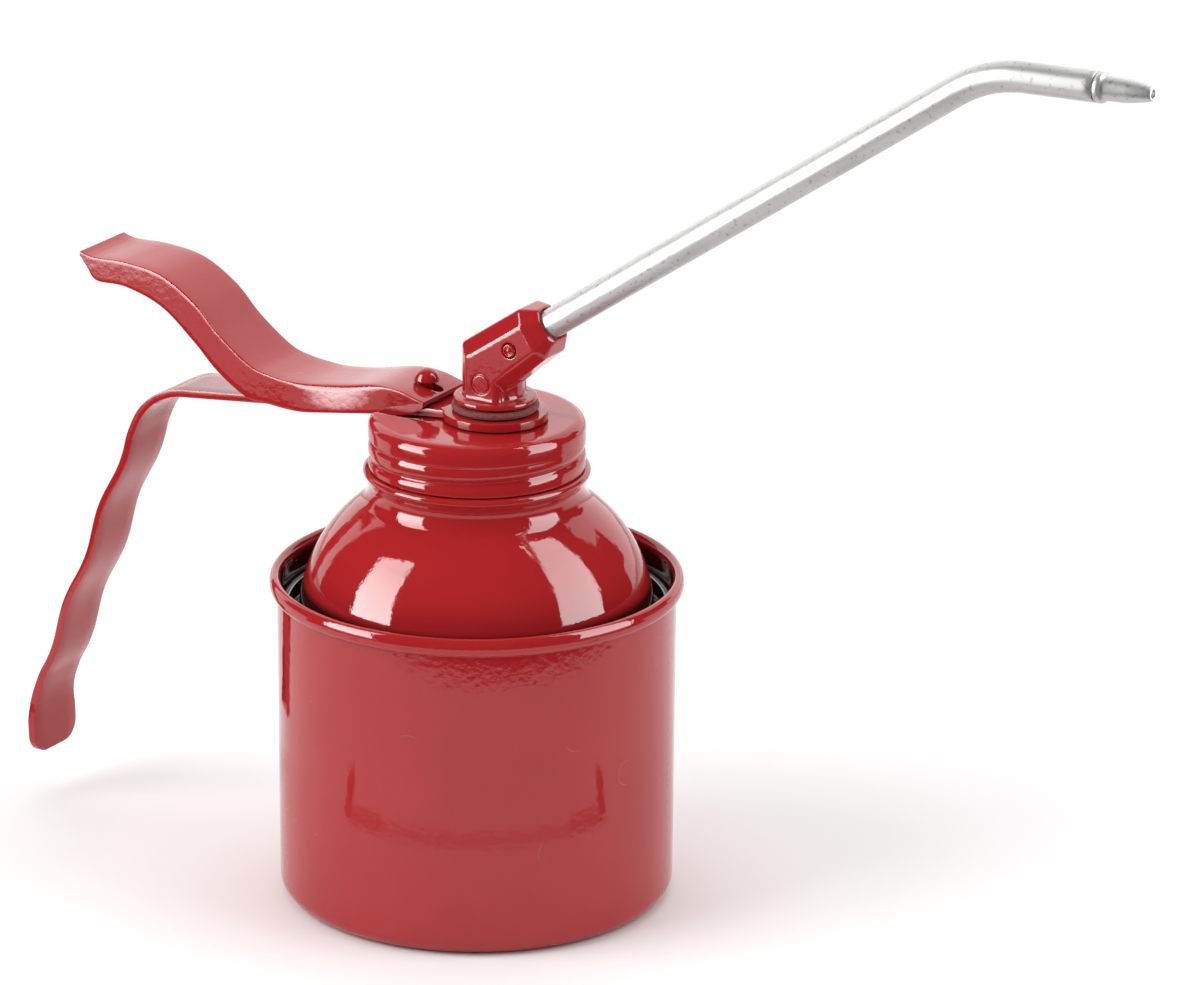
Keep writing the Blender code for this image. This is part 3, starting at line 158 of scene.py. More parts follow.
def stoved_enamel(name, dust, scratched, chipped=0.0, waviness=0.000012, gutter_shade=None):
    """Sprayed and stoved alkyd enamel: a deep even red with a hard gloss and a faint orange peel.

    Handling leaves dust, arcs of hairline scratches that catch the light, and a few dark chips. The
    scratches are drawn wider than the real ones, which are too fine to show in the render. Inside the
    cup's rim painted shade darkens the red in the gutter between cup and dome, below a height and
    within a radius.
    """
    material, tree = new_material(name)
    at = add(tree, "ShaderNodeTexCoord").outputs["Object"]
    cloud = add(tree, "ShaderNodeTexNoise", {
        "Vector": at, "Scale": per_mm(CLOUD_SPACING), "Detail": 3.0,
    }).outputs[0]
    red = add(tree, "ShaderNodeMix", {
        0: cloud, 6: linear(ENAMEL_DEEP), 7: linear(ENAMEL_RED),
    }, data_type="RGBA").outputs[2]

    speck = add(tree, "ShaderNodeTexVoronoi", {"Vector": at, "Scale": per_mm(SPECK_SPACING)})
    near = add(tree, "ShaderNodeMath", {
        0: speck.outputs["Distance"], 1: SPECK_SIZE,
    }, operation="LESS_THAN")
    some = add(tree, "ShaderNodeMath", {0: speck.outputs["Color"], 1: 0.72}, operation="GREATER_THAN")
    specks = add(tree, "ShaderNodeMath", {0: near.outputs[0], 1: some.outputs[0]}, operation="MULTIPLY")

    circle = add(tree, "ShaderNodeTexVoronoi", {"Vector": at, "Scale": per_mm(SCRATCH_SPACING)})
    off = add(tree, "ShaderNodeMath", {
        0: circle.outputs["Distance"], 1: SCRATCH_RADIUS,
    }, operation="SUBTRACT")
    thin = add(tree, "ShaderNodeMath", {0: off.outputs[0], 1: 0.0, 2: SCRATCH_WIDTH}, operation="COMPARE")
    patch = add(tree, "ShaderNodeTexNoise", {
        "Vector": at, "Scale": per_mm(SCRATCH_PATCH), "Detail": 1.0,
    }).outputs[0]
    here = add(tree, "ShaderNodeMapRange", {0: patch, 1: 0.66, 2: 0.71})
    scratches = add(tree, "ShaderNodeMath", {0: thin.outputs[0], 1: here.outputs[0]}, operation="MULTIPLY")

    marks = add(tree, "ShaderNodeMath", {0: specks.outputs[0], 1: dust}, operation="MULTIPLY")
    lines = add(tree, "ShaderNodeMath", {0: scratches.outputs[0], 1: scratched}, operation="MULTIPLY")
    pale = add(tree, "ShaderNodeMath", {0: marks.outputs[0], 1: lines.outputs[0]}, operation="MAXIMUM")
    colour = add(tree, "ShaderNodeMix", {
        0: pale.outputs[0], 6: red, 7: linear(ENAMEL_DUST),
    }, data_type="RGBA").outputs[2]
    if chipped:
        pits = add(tree, "ShaderNodeTexNoise", {
            "Vector": at, "Scale": per_mm(CHIP_SPACING), "Detail": 2.0,
        }).outputs[0]
        chips = add(tree, "ShaderNodeMath", {0: pits, 1: 0.80 - chipped * 0.1}, operation="GREATER_THAN")
        colour = add(tree, "ShaderNodeMix", {
            0: chips.outputs[0], 6: colour, 7: linear(ENAMEL_CHIP),
        }, data_type="RGBA").outputs[2]
    # Painted shade: darkens the gutter between cup and dome, below a height and within a radius
    if gutter_shade:
        colour = add(tree, "ShaderNodeMix", {
            0: painted_gutter_shade(tree, at, *gutter_shade), 6: colour, 7: linear(GUTTER_SHADE_COLOUR),
        }, data_type="RGBA").outputs[2]

    peel = add(tree, "ShaderNodeTexNoise", {
        "Vector": at, "Scale": per_mm(PEEL_SPACING), "Detail": 3.0,
    }).outputs[0]
    sag = add(tree, "ShaderNodeTexNoise", {
        "Vector": at, "Scale": per_mm(SAG_SPACING), "Detail": 1.0,
    }).outputs[0]
    wide = add(tree, "ShaderNodeBump", {"Height": sag, "Distance": waviness, "Strength": 1.0}).outputs[0]
    fine = add(tree, "ShaderNodeBump", {
        "Height": peel, "Distance": PEEL_RELIEF, "Strength": 1.0, "Normal": wide,
    }).outputs[0]
    rough = add(tree, "ShaderNodeMapRange", {0: cloud, 3: 0.025, 4: 0.05})
    shader = add(tree, "ShaderNodeBsdfPrincipled", {
        "Base Color": colour, "Roughness": rough.outputs[0], "Normal": fine, "IOR": 1.5,
    })
    finish_material(tree, shader)
    return material


def painted_gutter_shade(tree, at, top, within):
    """Share of painted shade in the gutter at the cup's mouth, below a height and within a radius in
    millimetres.
    """
    height = add(tree, "ShaderNodeSeparateXYZ", {0: at}).outputs[2]
    level = add(tree, "ShaderNodeVectorMath", {
        0: at, 1: (1.0, 1.0, 0.0),
    }, operation="MULTIPLY").outputs[0]
    radius = add(tree, "ShaderNodeVectorMath", {0: level}, operation="LENGTH").outputs[1]
    below = add(tree, "ShaderNodeMapRange", {
        0: height, 1: (top - 1.5) * MM, 2: top * MM, 3: 0.9, 4: 0.0,
    }).outputs[0]
    above = add(tree, "ShaderNodeMapRange", {0: height, 1: GUTTER_SHADE_FROM * MM, 2: GUTTER_SHADE_FULL * MM}).outputs[0]
    inside = add(tree, "ShaderNodeMapRange", {
        0: radius, 1: within * MM, 2: (within + 0.3) * MM, 3: 1.0, 4: 0.0,
    }).outputs[0]
    share = add(tree, "ShaderNodeMath", {0: below, 1: above}, operation="MULTIPLY").outputs[0]
    return add(tree, "ShaderNodeMath", {0: share, 1: inside}, operation="MULTIPLY").outputs[0]


TUBE_GREY = "#bcbcbb"
SMEAR_GREY = "#9c9c9b"
PIT_GREY = "#86868a"
DRAW_LINE_SPACING = 0.8
DRAW_LINE_RELIEF = 0.0000015
SMEAR_SPACING = 7
PIT_SPACING = 1.1


def drawn_aluminium(name, bright, smooth):
    """Drawn aluminium tube, left bare: silvery, with soft draw lines along it and grey handling smears.

    The draw lines are drawn coarser than the real ones, which are too fine to show in the render.
    """
    material, tree = new_material(name)
    uv = add(tree, "ShaderNodeTexCoord").outputs["UV"]
    stretched = add(tree, "ShaderNodeMapping", {"Vector": uv, "Scale": (1.0, 0.03, 1.0)}).outputs[0]
    draw = add(tree, "ShaderNodeTexNoise", {
        "Vector": stretched, "Scale": per_mm(DRAW_LINE_SPACING), "Detail": 1.0,
    }).outputs[0]
    longer = add(tree, "ShaderNodeMapping", {"Vector": uv, "Scale": (1.0, 0.25, 1.0)}).outputs[0]
    smear = add(tree, "ShaderNodeTexNoise", {
        "Vector": longer, "Scale": per_mm(SMEAR_SPACING), "Detail": 3.0,
    }).outputs[0]
    grey = add(tree, "ShaderNodeMapRange", {0: smear, 1: 0.5, 2: 0.8, 4: 0.6}).outputs[0]
    silver = add(tree, "ShaderNodeMix", {
        0: draw, 6: linear(TUBE_GREY), 7: linear(bright),
    }, data_type="RGBA").outputs[2]
    colour = add(tree, "ShaderNodeMix", {
        0: grey, 6: silver, 7: linear(SMEAR_GREY),
    }, data_type="RGBA").outputs[2]
    pit = add(tree, "ShaderNodeTexNoise", {
        "Vector": uv, "Scale": per_mm(PIT_SPACING), "Detail": 1.0,
    }).outputs[0]
    pitted = add(tree, "ShaderNodeMapRange", {0: pit, 1: 0.62, 2: 0.70, 4: 0.55}).outputs[0]
    colour = add(tree, "ShaderNodeMix", {
        0: pitted, 6: colour, 7: linear(PIT_GREY),
    }, data_type="RGBA").outputs[2]
    rough = add(tree, "ShaderNodeMapRange", {
        0: smear, 1: 0.3, 2: 0.7, 3: smooth, 4: smooth + 0.1,
    }).outputs[0]
    bump = add(tree, "ShaderNodeBump", {
        "Height": draw, "Distance": DRAW_LINE_RELIEF, "Strength": 1.0,
    }).outputs[0]
    shader = add(tree, "ShaderNodeBsdfPrincipled", {
        "Base Color": colour, "Roughness": rough, "Metallic": 0.72, "Normal": bump,
    })
    finish_material(tree, shader)
    return material


DULL_PATCH = 6
GRAIN_RELIEF = 0.00001


def plain_metal(name, colour, dull, rough, grain_mm):
    """A worked metal: one hue with duller patches, and a fine grain from how it was cut or drawn."""
    material, tree = new_material(name)
    at = add(tree, "ShaderNodeTexCoord").outputs["Object"]
    patch = add(tree, "ShaderNodeTexNoise", {
        "Vector": at, "Scale": per_mm(DULL_PATCH), "Detail": 3.0,
    }).outputs[0]
    grain = add(tree, "ShaderNodeTexNoise", {
        "Vector": at, "Scale": per_mm(grain_mm), "Detail": 2.0,
    }).outputs[0]
    tone = add(tree, "ShaderNodeMix", {
        0: patch, 6: linear(dull), 7: linear(colour),
    }, data_type="RGBA").outputs[2]
    roughness = add(tree, "ShaderNodeMapRange", {0: patch, 3: rough * 1.3, 4: rough * 0.8}).outputs[0]
    bump = add(tree, "ShaderNodeBump", {
        "Height": grain, "Distance": GRAIN_RELIEF, "Strength": 1.0,
    }).outputs[0]
    shader = add(tree, "ShaderNodeBsdfPrincipled", {
        "Base Color": tone, "Roughness": roughness, "Metallic": 1.0, "Normal": bump,
    })
    finish_material(tree, shader)
    return material


def granular(name, colour, fleck, rough, grain_mm, relief):
    """Pressed fibre or moulded rubber: a matt ground with flecks of another tone and a grainy surface."""
    material, tree = new_material(name)
    at = add(tree, "ShaderNodeTexCoord").outputs["Object"]
    grain = add(tree, "ShaderNodeTexNoise", {
        "Vector": at, "Scale": per_mm(grain_mm), "Detail": 4.0,
    }).outputs[0]
    spread = add(tree, "ShaderNodeMapRange", {0: grain, 1: 0.42, 2: 0.62}).outputs[0]
    tone = add(tree, "ShaderNodeMix", {
        0: spread, 6: linear(colour), 7: linear(fleck),
    }, data_type="RGBA").outputs[2]
    bump = add(tree, "ShaderNodeBump", {"Height": grain, "Distance": relief, "Strength": 1.0}).outputs[0]
    shader = add(tree, "ShaderNodeBsdfPrincipled", {"Base Color": tone, "Roughness": rough, "Normal": bump})
    finish_material(tree, shader)
    return material


# The last two numbers place the painted shade in the gutter: its top height and its radius, in millimetres
CUP_ENAMEL = stoved_enamel("cup_stoved_enamel", dust=0.7, scratched=0.22, gutter_shade=(66.5, 39.3))
DOME_ENAMEL = stoved_enamel("dome_stoved_enamel", dust=0.6, scratched=0.25, gutter_shade=(66.4, 39.0))
SHEET_ENAMEL = stoved_enamel("sheet_stoved_enamel", dust=0.5, scratched=0.2, waviness=0.00003)
CASTING_ENAMEL = stoved_enamel("casting_stoved_enamel", dust=0.4, scratched=0.1, chipped=0.3)
TUBE_ALUMINIUM = drawn_aluminium("drawn_aluminium", "#c2c2c0", 0.36)
JET_ALUMINIUM = drawn_aluminium("turned_aluminium", "#cbcbca", 0.36)
RED_FIBRE = granular("vulcanised_red_fibre", "#5c241f", "#7f3c34", 0.8, 0.4, 0.00006)
BLACK_RUBBER = granular("moulded_nitrile_rubber", "#171717", "#232323", 0.6, 0.4, 0.000008)
BARE_STEEL = plain_metal("bare_drawn_steel", "#b9b9b6", "#8c8c8a", 0.3, 0.6)
BRASS = plain_metal("turned_brass", "#d0ac62", "#a98745", 0.28, 0.4)
ZINC = plain_metal("die_cast_zinc", "#a3a4a6", "#86878a", 0.45, 0.8)


def mesh_of(name, points, faces, materials, body, node=None, slot=None):
    """A smooth-shaded mesh from points in millimetres, riding on a body of the model."""
    mesh = bpy.data.meshes.new(name)
    mesh.from_pydata([Vector(point) * MM for point in points], [], faces)
    obj = bpy.data.objects.new(name, mesh)
    bpy.context.scene.collection.objects.link(obj)
    solid = bmesh.new()
    solid.from_mesh(mesh)
    bmesh.ops.remove_doubles(solid, verts=solid.verts, dist=0.000001)
    bmesh.ops.dissolve_degenerate(solid, edges=solid.edges, dist=0.0000005)
    solid.to_mesh(mesh)
    solid.free()
    for material in materials:
        mesh.materials.append(material)
    mesh.shade_smooth()
    if body:
        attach(obj, body)
    if node:
        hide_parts(node)
    return obj


def ring(radius, height, centre_x=0.0, count=ROUND):
    """A closed row of points about an upright axis."""
    return [
        (
            centre_x + radius * math.cos(math.tau * index / count),
            radius * math.sin(math.tau * index / count),
            height,
        )
        for index in range(count + 1)
    ]


def grid(rows):
    """Points and faces of a sheet through equal rows, which run down as seen from outside."""
    wide = len(rows[0])
    points = [point for row in rows for point in row]
    faces = [
        (r * wide + c, (r + 1) * wide + c, (r + 1) * wide + c + 1, r * wide + c + 1)
        for r in range(len(rows) - 1)
        for c in range(wide - 1)
    ]
    return points, faces


def arc(centre, radius, start, end, count):
    """Points on an arc in degrees, both ends included."""
    points = []
    for index in range(count):
        angle = math.radians(start + (end - start) * index / (count - 1))
        points.append((centre[0] + radius * math.cos(angle), centre[1] + radius * math.sin(angle)))
    return points


def smooth_through(rows, steps):
    """A smooth curve through rows of numbers, with steps points to each span."""
    ends = [rows[0], *rows, rows[-1]]
    curve = []
    for index in range(1, len(ends) - 2):
        for step in range(steps):
            part = step / steps
            curve.append(tuple(
                0.5 * (
                    2 * b + (c - a) * part + (2 * a - 5 * b + 4 * c - d) * part ** 2
                    + (3 * b - a - 3 * c + d) * part ** 3
                )
                for a, b, c, d in zip(*ends[index - 1:index + 3])
            ))
    curve.append(rows[-1])
    return curve


def thicken(obj, thickness):
    """Give a sheet its thickness on the inner side."""
    solidify = obj.modifiers.new("sheet", "SOLIDIFY")
    solidify.thickness = thickness * MM
    solidify.offset = -1.0
    solidify.use_even_offset = True


def round_edges(obj, width):
    """Round sharp edges, as paint does."""
    bevel = obj.modifiers.new("edges", "BEVEL")
    bevel.width = width * MM
    bevel.segments = 3
    bevel.limit_method = "ANGLE"
    bevel.angle_limit = math.radians(40)
    bevel.use_clamp_overlap = True


def boolean(obj, other, operation="DIFFERENCE"):
    """Cut another mesh out of a piece, or join it, and remove it."""
    modifier = obj.modifiers.new(operation, "BOOLEAN")
    modifier.operation = operation
    modifier.object = other
    bpy.context.view_layer.update()
    graph = bpy.context.evaluated_depsgraph_get()
    made = bpy.data.meshes.new_from_object(obj.evaluated_get(graph))
    made.name = obj.data.name
    obj.modifiers.clear()
    obj.data = made
    bpy.data.objects.remove(other, do_unlink=True)


def lathe(name, outline, material, body, node=None, slot=None, centre_x=0.0, count=ROUND):
    """Turn an outline of (radius, height) points, down its outer side, about an upright axis."""
    rows = [ring(radius, height, centre_x, count) for radius, height in outline]
    return mesh_of(name, *grid(rows), [material], body, node, slot)


CUP_RADIUS = 40.0
CUP_DRAFT = 0.35
CUP_HEIGHT = 67.5
CUP_WALL = 0.8
CUP_CORNER = 4.1
RIM_PROUD = 1.5
RIM_HEIGHT = 3.7


def cup():
    """Drawn cup with a rolled rim."""
    inner = CUP_RADIUS - CUP_WALL
    rim_centre = (inner + CUP_RADIUS + RIM_PROUD) / 2
    rim_half = (CUP_RADIUS + RIM_PROUD - inner) / 2
    middle = CUP_HEIGHT - RIM_HEIGHT / 2
    base = CUP_RADIUS - CUP_DRAFT
    tuck = -math.acos((CUP_RADIUS - rim_centre) / rim_half)
    outline = [(0.0, CUP_WALL)]
    outline += arc((base - CUP_CORNER, CUP_CORNER), CUP_CORNER - CUP_WALL, -90, 0, 10)
    outline += [(inner, middle * share) for share in (0.25, 0.5, 0.75, 1.0)]
    for index in range(1, 37):
        angle = math.pi + (tuck - math.pi) * index / 36
        outline.append((rim_centre + rim_half * math.cos(angle), middle + RIM_HEIGHT / 2 * math.sin(angle)))
    foot = outline[-1][1] - 0.25
    outline += [(CUP_RADIUS, foot - 0.1)]
    for share in (0.2, 0.4, 0.6, 0.8):
        outline.append((CUP_RADIUS - CUP_DRAFT * share, foot + (CUP_CORNER - foot) * share))
    outline += arc((base - CUP_CORNER, CUP_CORNER), CUP_CORNER, 0, -90, 14)
    outline.append((0.0, 0.0))
    return lathe("enamelled_cup", outline, CUP_ENAMEL, "vessel", "cup_body", "red_enamel")


DOME_RADIUS = 35.7
DOME_ARC = 29.9
DOME_SHEET = 0.6
GUTTER_Z = 57.5
GUTTER_CORNER = 0.7
GUTTER_LIP = 3.7
COLLAR_RADIUS = 21.7
COLLAR_FILLET = 4.0
BEAD_RADIUS = 22.7
BEAD_HEIGHT = 1.6
NECK_RADIUS = 20.35
NECK_TOP = 7.1
CAP_RADIUS = 21.7
CAP_SHEET = 0.5
CAP_CORNER = 2.2
CAP_TOP = 10.6
THREAD_PITCH = 3.8
THREAD_TOP = 7.5
THREAD_DEPTH = 0.644
# Down from the middle of a groove, and how steeply the sheet leaves it there
GROOVE_SLOPES = ((0.0, 0.0), (0.3, 0.9), (0.5, 0.9), (0.62, 0.5), (1.6, 0.0))


def groove_stand(down):
    """How far the sheet stands out beside a groove: a tight hollow, a steep flank and a rounded crest."""
    stand = 0.0
    for (start, slope), (end, next_slope) in zip(GROOVE_SLOPES, GROOVE_SLOPES[1:]):
        reach = min(max(down - start, 0.0), end - start)
        stand += reach * (slope + (next_slope - slope) * reach / (end - start) / 2)
    return stand


def thread_rows(radius, low, high, plain):
    """Rows of a rolled right-hand thread between two heights above the seat, each following the helix.

    The radius is that of the groove, and plain is the share of the depth at which the sheet runs out.
    """
    side = [0.05 * index for index in range(7)] + [0.4, 0.5, 0.56, 0.62, 0.76, 0.9, 1.05, 1.2, 1.4, 1.6]
    profile = [(down, groove_stand(down) / THREAD_DEPTH) for down in side]
    profile += [(THREAD_PITCH - down, groove_stand(down) / THREAD_DEPTH) for down in reversed(side[1:])]
    rows = []
    for turn in range(math.ceil((THREAD_TOP - low) / THREAD_PITCH) + 2):
        for down, stand in profile:
            row = []
            for column in range(ROUND + 1):
                around = column / ROUND
                height = min(high, max(low, THREAD_TOP + THREAD_PITCH * (around - turn) - down))
                fade = max(0.0, min(1.0, (high - height) / 1.0, (height - low) / 1.0))
                fade = fade * fade * (3 - 2 * fade)
                proud = radius + THREAD_DEPTH * (plain + (stand - plain) * fade)
                angle = math.tau * around
                row.append((proud * math.cos(angle), proud * math.sin(angle), SEAT + height))
            rows.append(row)
    return rows


def dome():
    """Drawn dome with its gutter in the cup, the bead under the cap and the threaded neck inside it."""
    centre_r = DOME_RADIUS - DOME_ARC
    centre_z = GUTTER_Z + GUTTER_CORNER
    fillet_r = COLLAR_RADIUS + COLLAR_FILLET
    sweep = math.acos((fillet_r - centre_r) / (DOME_ARC + COLLAR_FILLET))
    fillet_z = centre_z + (DOME_ARC + COLLAR_FILLET) * math.sin(sweep)
    turn = math.degrees(sweep)
    half = BEAD_HEIGHT / 2
    lip = CUP_RADIUS - CUP_WALL - CLEARANCE - DOME_SHEET
    outline = [(NECK_RADIUS - 1.0, SEAT + NECK_TOP)]
    outline += arc((NECK_RADIUS - 0.5, SEAT + NECK_TOP - 0.5), 0.5, 90, 0, 6)
    rows = [ring(radius, height) for radius, height in outline]
    rows += thread_rows(NECK_RADIUS, 1.1, 5.8, 0.0)
    outline = [(NECK_RADIUS, SEAT + 0.3), (NECK_RADIUS + 0.3, SEAT)]
    outline += arc((BEAD_RADIUS - half, SEAT - half), half, 90, -90, 15)
    outline.append((COLLAR_RADIUS + 0.15, SEAT - BEAD_HEIGHT - 0.02))
    outline += arc((fillet_r, fillet_z), COLLAR_FILLET, 180, 180 + turn, 14)
    outline += arc((centre_r, centre_z), DOME_ARC, turn, 0, 48)[1:]
    outline += arc((DOME_RADIUS + GUTTER_CORNER, centre_z), GUTTER_CORNER, 180, 270, 8)[1:]
    outline += arc((lip - GUTTER_CORNER, centre_z), GUTTER_CORNER, -90, 0, 8)
    outline += [(lip, GUTTER_Z + GUTTER_LIP)]
    rows += [ring(radius, height) for radius, height in outline]
    shell = mesh_of("enamelled_dome", *grid(rows), [DOME_ENAMEL], "vessel", "dome_shoulder", "red_enamel")
    thicken(shell, DOME_SHEET)
    return shell


EDGE_PROUD = 0.08


def gutter_edge():
    """The sheared edge of the gutter's lip, where the bare steel shows."""
    inner = CUP_RADIUS - CUP_WALL - CLEARANCE - DOME_SHEET - DOME_SHEET
    top = GUTTER_Z + GUTTER_LIP
    outline = [
        (inner + 0.02, top), (inner + 0.1, top + EDGE_PROUD),
        (inner + 0.5, top + EDGE_PROUD), (inner + 0.58, top),
    ]
    return lathe("gutter_edge", outline, BARE_STEEL, "vessel")


def smooth_step(value, low, high):
    """Share of the way between two values, easing in and out."""
    share = min(1.0, max(0.0, (value - low) / (high - low)))
    return share * share * (3 - 2 * share)


def cap_point(x, y, height):
    """A place on the cap above its thread, which a channel under the strap's arm presses down."""
    channel = 1 - smooth_step(abs(y), 7.3, 9.6)
    drop = channel * (0.05 + max(0.0, ARM_START + 0.5 - x) * math.tan(ARM_SLOPE))
    low = THREAD_TOP - 0.8
    return (x, y, SEAT + (low + (height - low) * (1 - drop / (CAP_TOP - low)) if height > low else height))


def cap():
    """Pressed cap: a flat top with a channel under the strap's arm, and a skirt with a rolled thread."""
    shoulder = CAP_RADIUS - CAP_CORNER
    outline = [(shoulder * index / 24, CAP_TOP) for index in range(24)]
    outline += arc((shoulder, CAP_TOP - CAP_CORNER), CAP_CORNER, 90, 0, 16)
    rows = [[cap_point(x, y, z) for x, y, z in ring(radius, height)] for radius, height in outline]
    rows += thread_rows(CAP_RADIUS - THREAD_DEPTH, 0.6, THREAD_TOP - 0.8, 1.0)
    rows += [ring(CAP_RADIUS, SEAT + 0.38), ring(CAP_RADIUS - 0.08, SEAT + 0.3)]
    shell = mesh_of("enamelled_cap", *grid(rows), [SHEET_ENAMEL], "head", "screw_cap", "red_enamel")
    thicken(shell, CAP_SHEET)
    bore_for_pump(shell)
    return shell


def bore_for_pump(piece):
    """Holes for the elbow's shank and for the rod."""
    for radius, x in ((SHANK_RADIUS + CLEARANCE, RISER_X), (ROD_RADIUS + CLEARANCE, ROD_X)):
        boolean(piece, round_bar("hole", radius, SEAT, LUG_TOP + 5, (x, 0, 0)))


STRAP_SHEET = 1.5
STRAP_HALF = 6.5
LUG_RADIUS = 10.5
ARM_START = -5.0
ARM_SLOPE = math.radians(6.35)
ARM_END = -66.9
STRAP_BEND = 15.0
GRIP_SLOPE = math.radians(22.1)
GRIP_LENGTH = 66.1
FINGER_PITCH = 24.0
FINGER_DEPTH = 1.1
FIRST_CREST_SHARE = 0.38
GRIP_END_BEND = 20.0
GRIP_END_TURN = 24.0
GRIP_END_LENGTH = 7.5
GRIP_END_CORNER = 4.2
GRIP_END_FLARE = 0.9
RIB_HEIGHT = 2.1
RIB_HALF_WIDTH = 3.0


def arm_height(x):
    """Top of the strap's sloping arm."""
    return LUG_TOP + min(0.0, x - ARM_START) * math.tan(ARM_SLOPE)


def strap_stations():
    """(x, z, half width) down the outer side of the strap, from the lug to the end of the grip."""
    stations = []
    meet = math.pi - math.asin(STRAP_HALF / LUG_RADIUS)
    for index in range(49):
        angle = meet * (index / 48) ** 1.2
        x = RISER_X + LUG_RADIUS * math.cos(angle)
        stations.append((x, arm_height(x), LUG_RADIUS * math.sin(angle)))
    for index in range(1, 9):
        x = ARM_START + (FULCRUM.x + RIB_HALF_WIDTH - ARM_START) * index / 9
        stations.append((x, arm_height(x), STRAP_HALF))
    for index in range(13):
        away = (6 - index) / 6
        x = FULCRUM.x + RIB_HALF_WIDTH * away
        stations.append((x, arm_height(x) + RIB_HEIGHT * (1 + math.cos(math.pi * away)) / 2, STRAP_HALF))
    centre_x = ARM_END + STRAP_BEND * math.sin(ARM_SLOPE)
    centre_z = arm_height(ARM_END) - STRAP_BEND * math.cos(ARM_SLOPE)
    start = 90 + math.degrees(ARM_SLOPE)
    end = 180 - math.degrees(GRIP_SLOPE)
    for x, z in arc((centre_x, centre_z), STRAP_BEND, start, end, 18):
        stations.append((x, z, STRAP_HALF))
    down = Vector((-math.sin(GRIP_SLOPE), -math.cos(GRIP_SLOPE)))
    inward = Vector((math.cos(GRIP_SLOPE), -math.sin(GRIP_SLOPE)))
    top = Vector(stations[-1][:2])
    for index in range(1, 81):
        along = GRIP_LENGTH * index / 80
        wave = math.cos(math.tau * (along / FINGER_PITCH - FIRST_CREST_SHARE))
        settle = min(1.0, along / (FINGER_PITCH / 4), (GRIP_LENGTH - along) / (FINGER_PITCH / 4))
        settle = settle * settle * (3 - 2 * settle)
        place = top + down * along + inward * (FINGER_DEPTH / 2 * wave * settle)
        stations.append((place.x, place.y, STRAP_HALF))
    centre = top + down * GRIP_LENGTH + inward * GRIP_END_BEND
    bend = arc(centre, GRIP_END_BEND, end, end + GRIP_END_TURN, 16)[1:]
    for index, (x, z) in enumerate(bend):
        stations.append((x, z, STRAP_HALF + GRIP_END_FLARE * ((index + 1) / len(bend)) ** 2))
    half = STRAP_HALF + GRIP_END_FLARE
    last = Vector(stations[-1][:2])
    leave = math.radians(end + GRIP_END_TURN + 90)
    heading = Vector((math.cos(leave), math.sin(leave)))
    plain = GRIP_END_LENGTH - GRIP_END_CORNER
    for share in (0.5, 1.0):
        stations.append((*(last + heading * plain * share), half))
    for index in range(1, 13):
        angle = math.pi / 2 * index / 12
        reach = plain + GRIP_END_CORNER * math.sin(angle)
        stations.append((*(last + heading * reach), half - GRIP_END_CORNER * (1 - math.cos(angle))))
    return stations


def strap():
    """Pressed handle: a round lug, a sloping arm and a grip with three finger seats."""
    rows = []
    for x, z, half in strap_stations():
        rows.append([(x, half * side, z) for side in (1.0, 0.5, 0.0, -0.5, -1.0)])
    piece = mesh_of("enamelled_handle", *grid(rows), [SHEET_ENAMEL], "head", "handle_strap", "red_enamel")
    thicken(piece, STRAP_SHEET)
    bore_for_pump(piece)
    round_edges(piece, 0.32)
    return piece


LEVER_SHEET = 1.2
LEVER_GAP = 0.15
LEVER_FOLD = 0.3
LEVER_SOFT_FOLD = 1.3
# Along the lever from its fulcrum, where the fold is softest and how far that reaches
SOFT_MIDDLE = 9.0
SOFT_REACH = 12.0
SOFT_LEAN = 0.38
LEVER_REACH = 52.0
LEVER_NOSE = 29.3
LEVER_RISE = 18.35
LEVER_HALF = 7.9
FLANGE_DEPTH = 8.2
SLOT_HALF = 1.55
SLOT_BACK = 1.0
SLOT_FRONT = 2.1
# Along the lever from its fulcrum, rise of the web and depth of the flanges
LEVER_SHARES = (
    (-1.022, 1.030, 0.10),
    (-0.990, 1.002, 0.30),
    (-0.944, 0.990, 0.58),
    (-0.808, 1.000, 0.62),
    (-0.640, 0.930, 0.80),
    (-0.490, 0.690, 1.00),
    (-0.381, 0.395, 0.98),
    (-0.246, 0.120, 0.89),
    (-0.150, 0.030, 0.74),
    (0.000, 0.000, 0.71),
    (0.300, 0.058, 0.68),
    (0.600, 0.152, 0.72),
    (0.800, 0.148, 0.62),
    (0.930, 0.100, 0.36),
    (1.000, 0.068, 0.12),
)


def lever_stations():
    """(x, height of the web's top, flange depth) about the fulcrum, from the thumb end to the nose."""
    stations = []
    for along, rise, depth in smooth_through(LEVER_SHARES, 9):
        x = along * (LEVER_REACH if along < 0 else LEVER_NOSE)
        stations.append((x, LEVER_GAP + LEVER_SHEET + LEVER_RISE * rise, FLANGE_DEPTH * depth))
    return stations


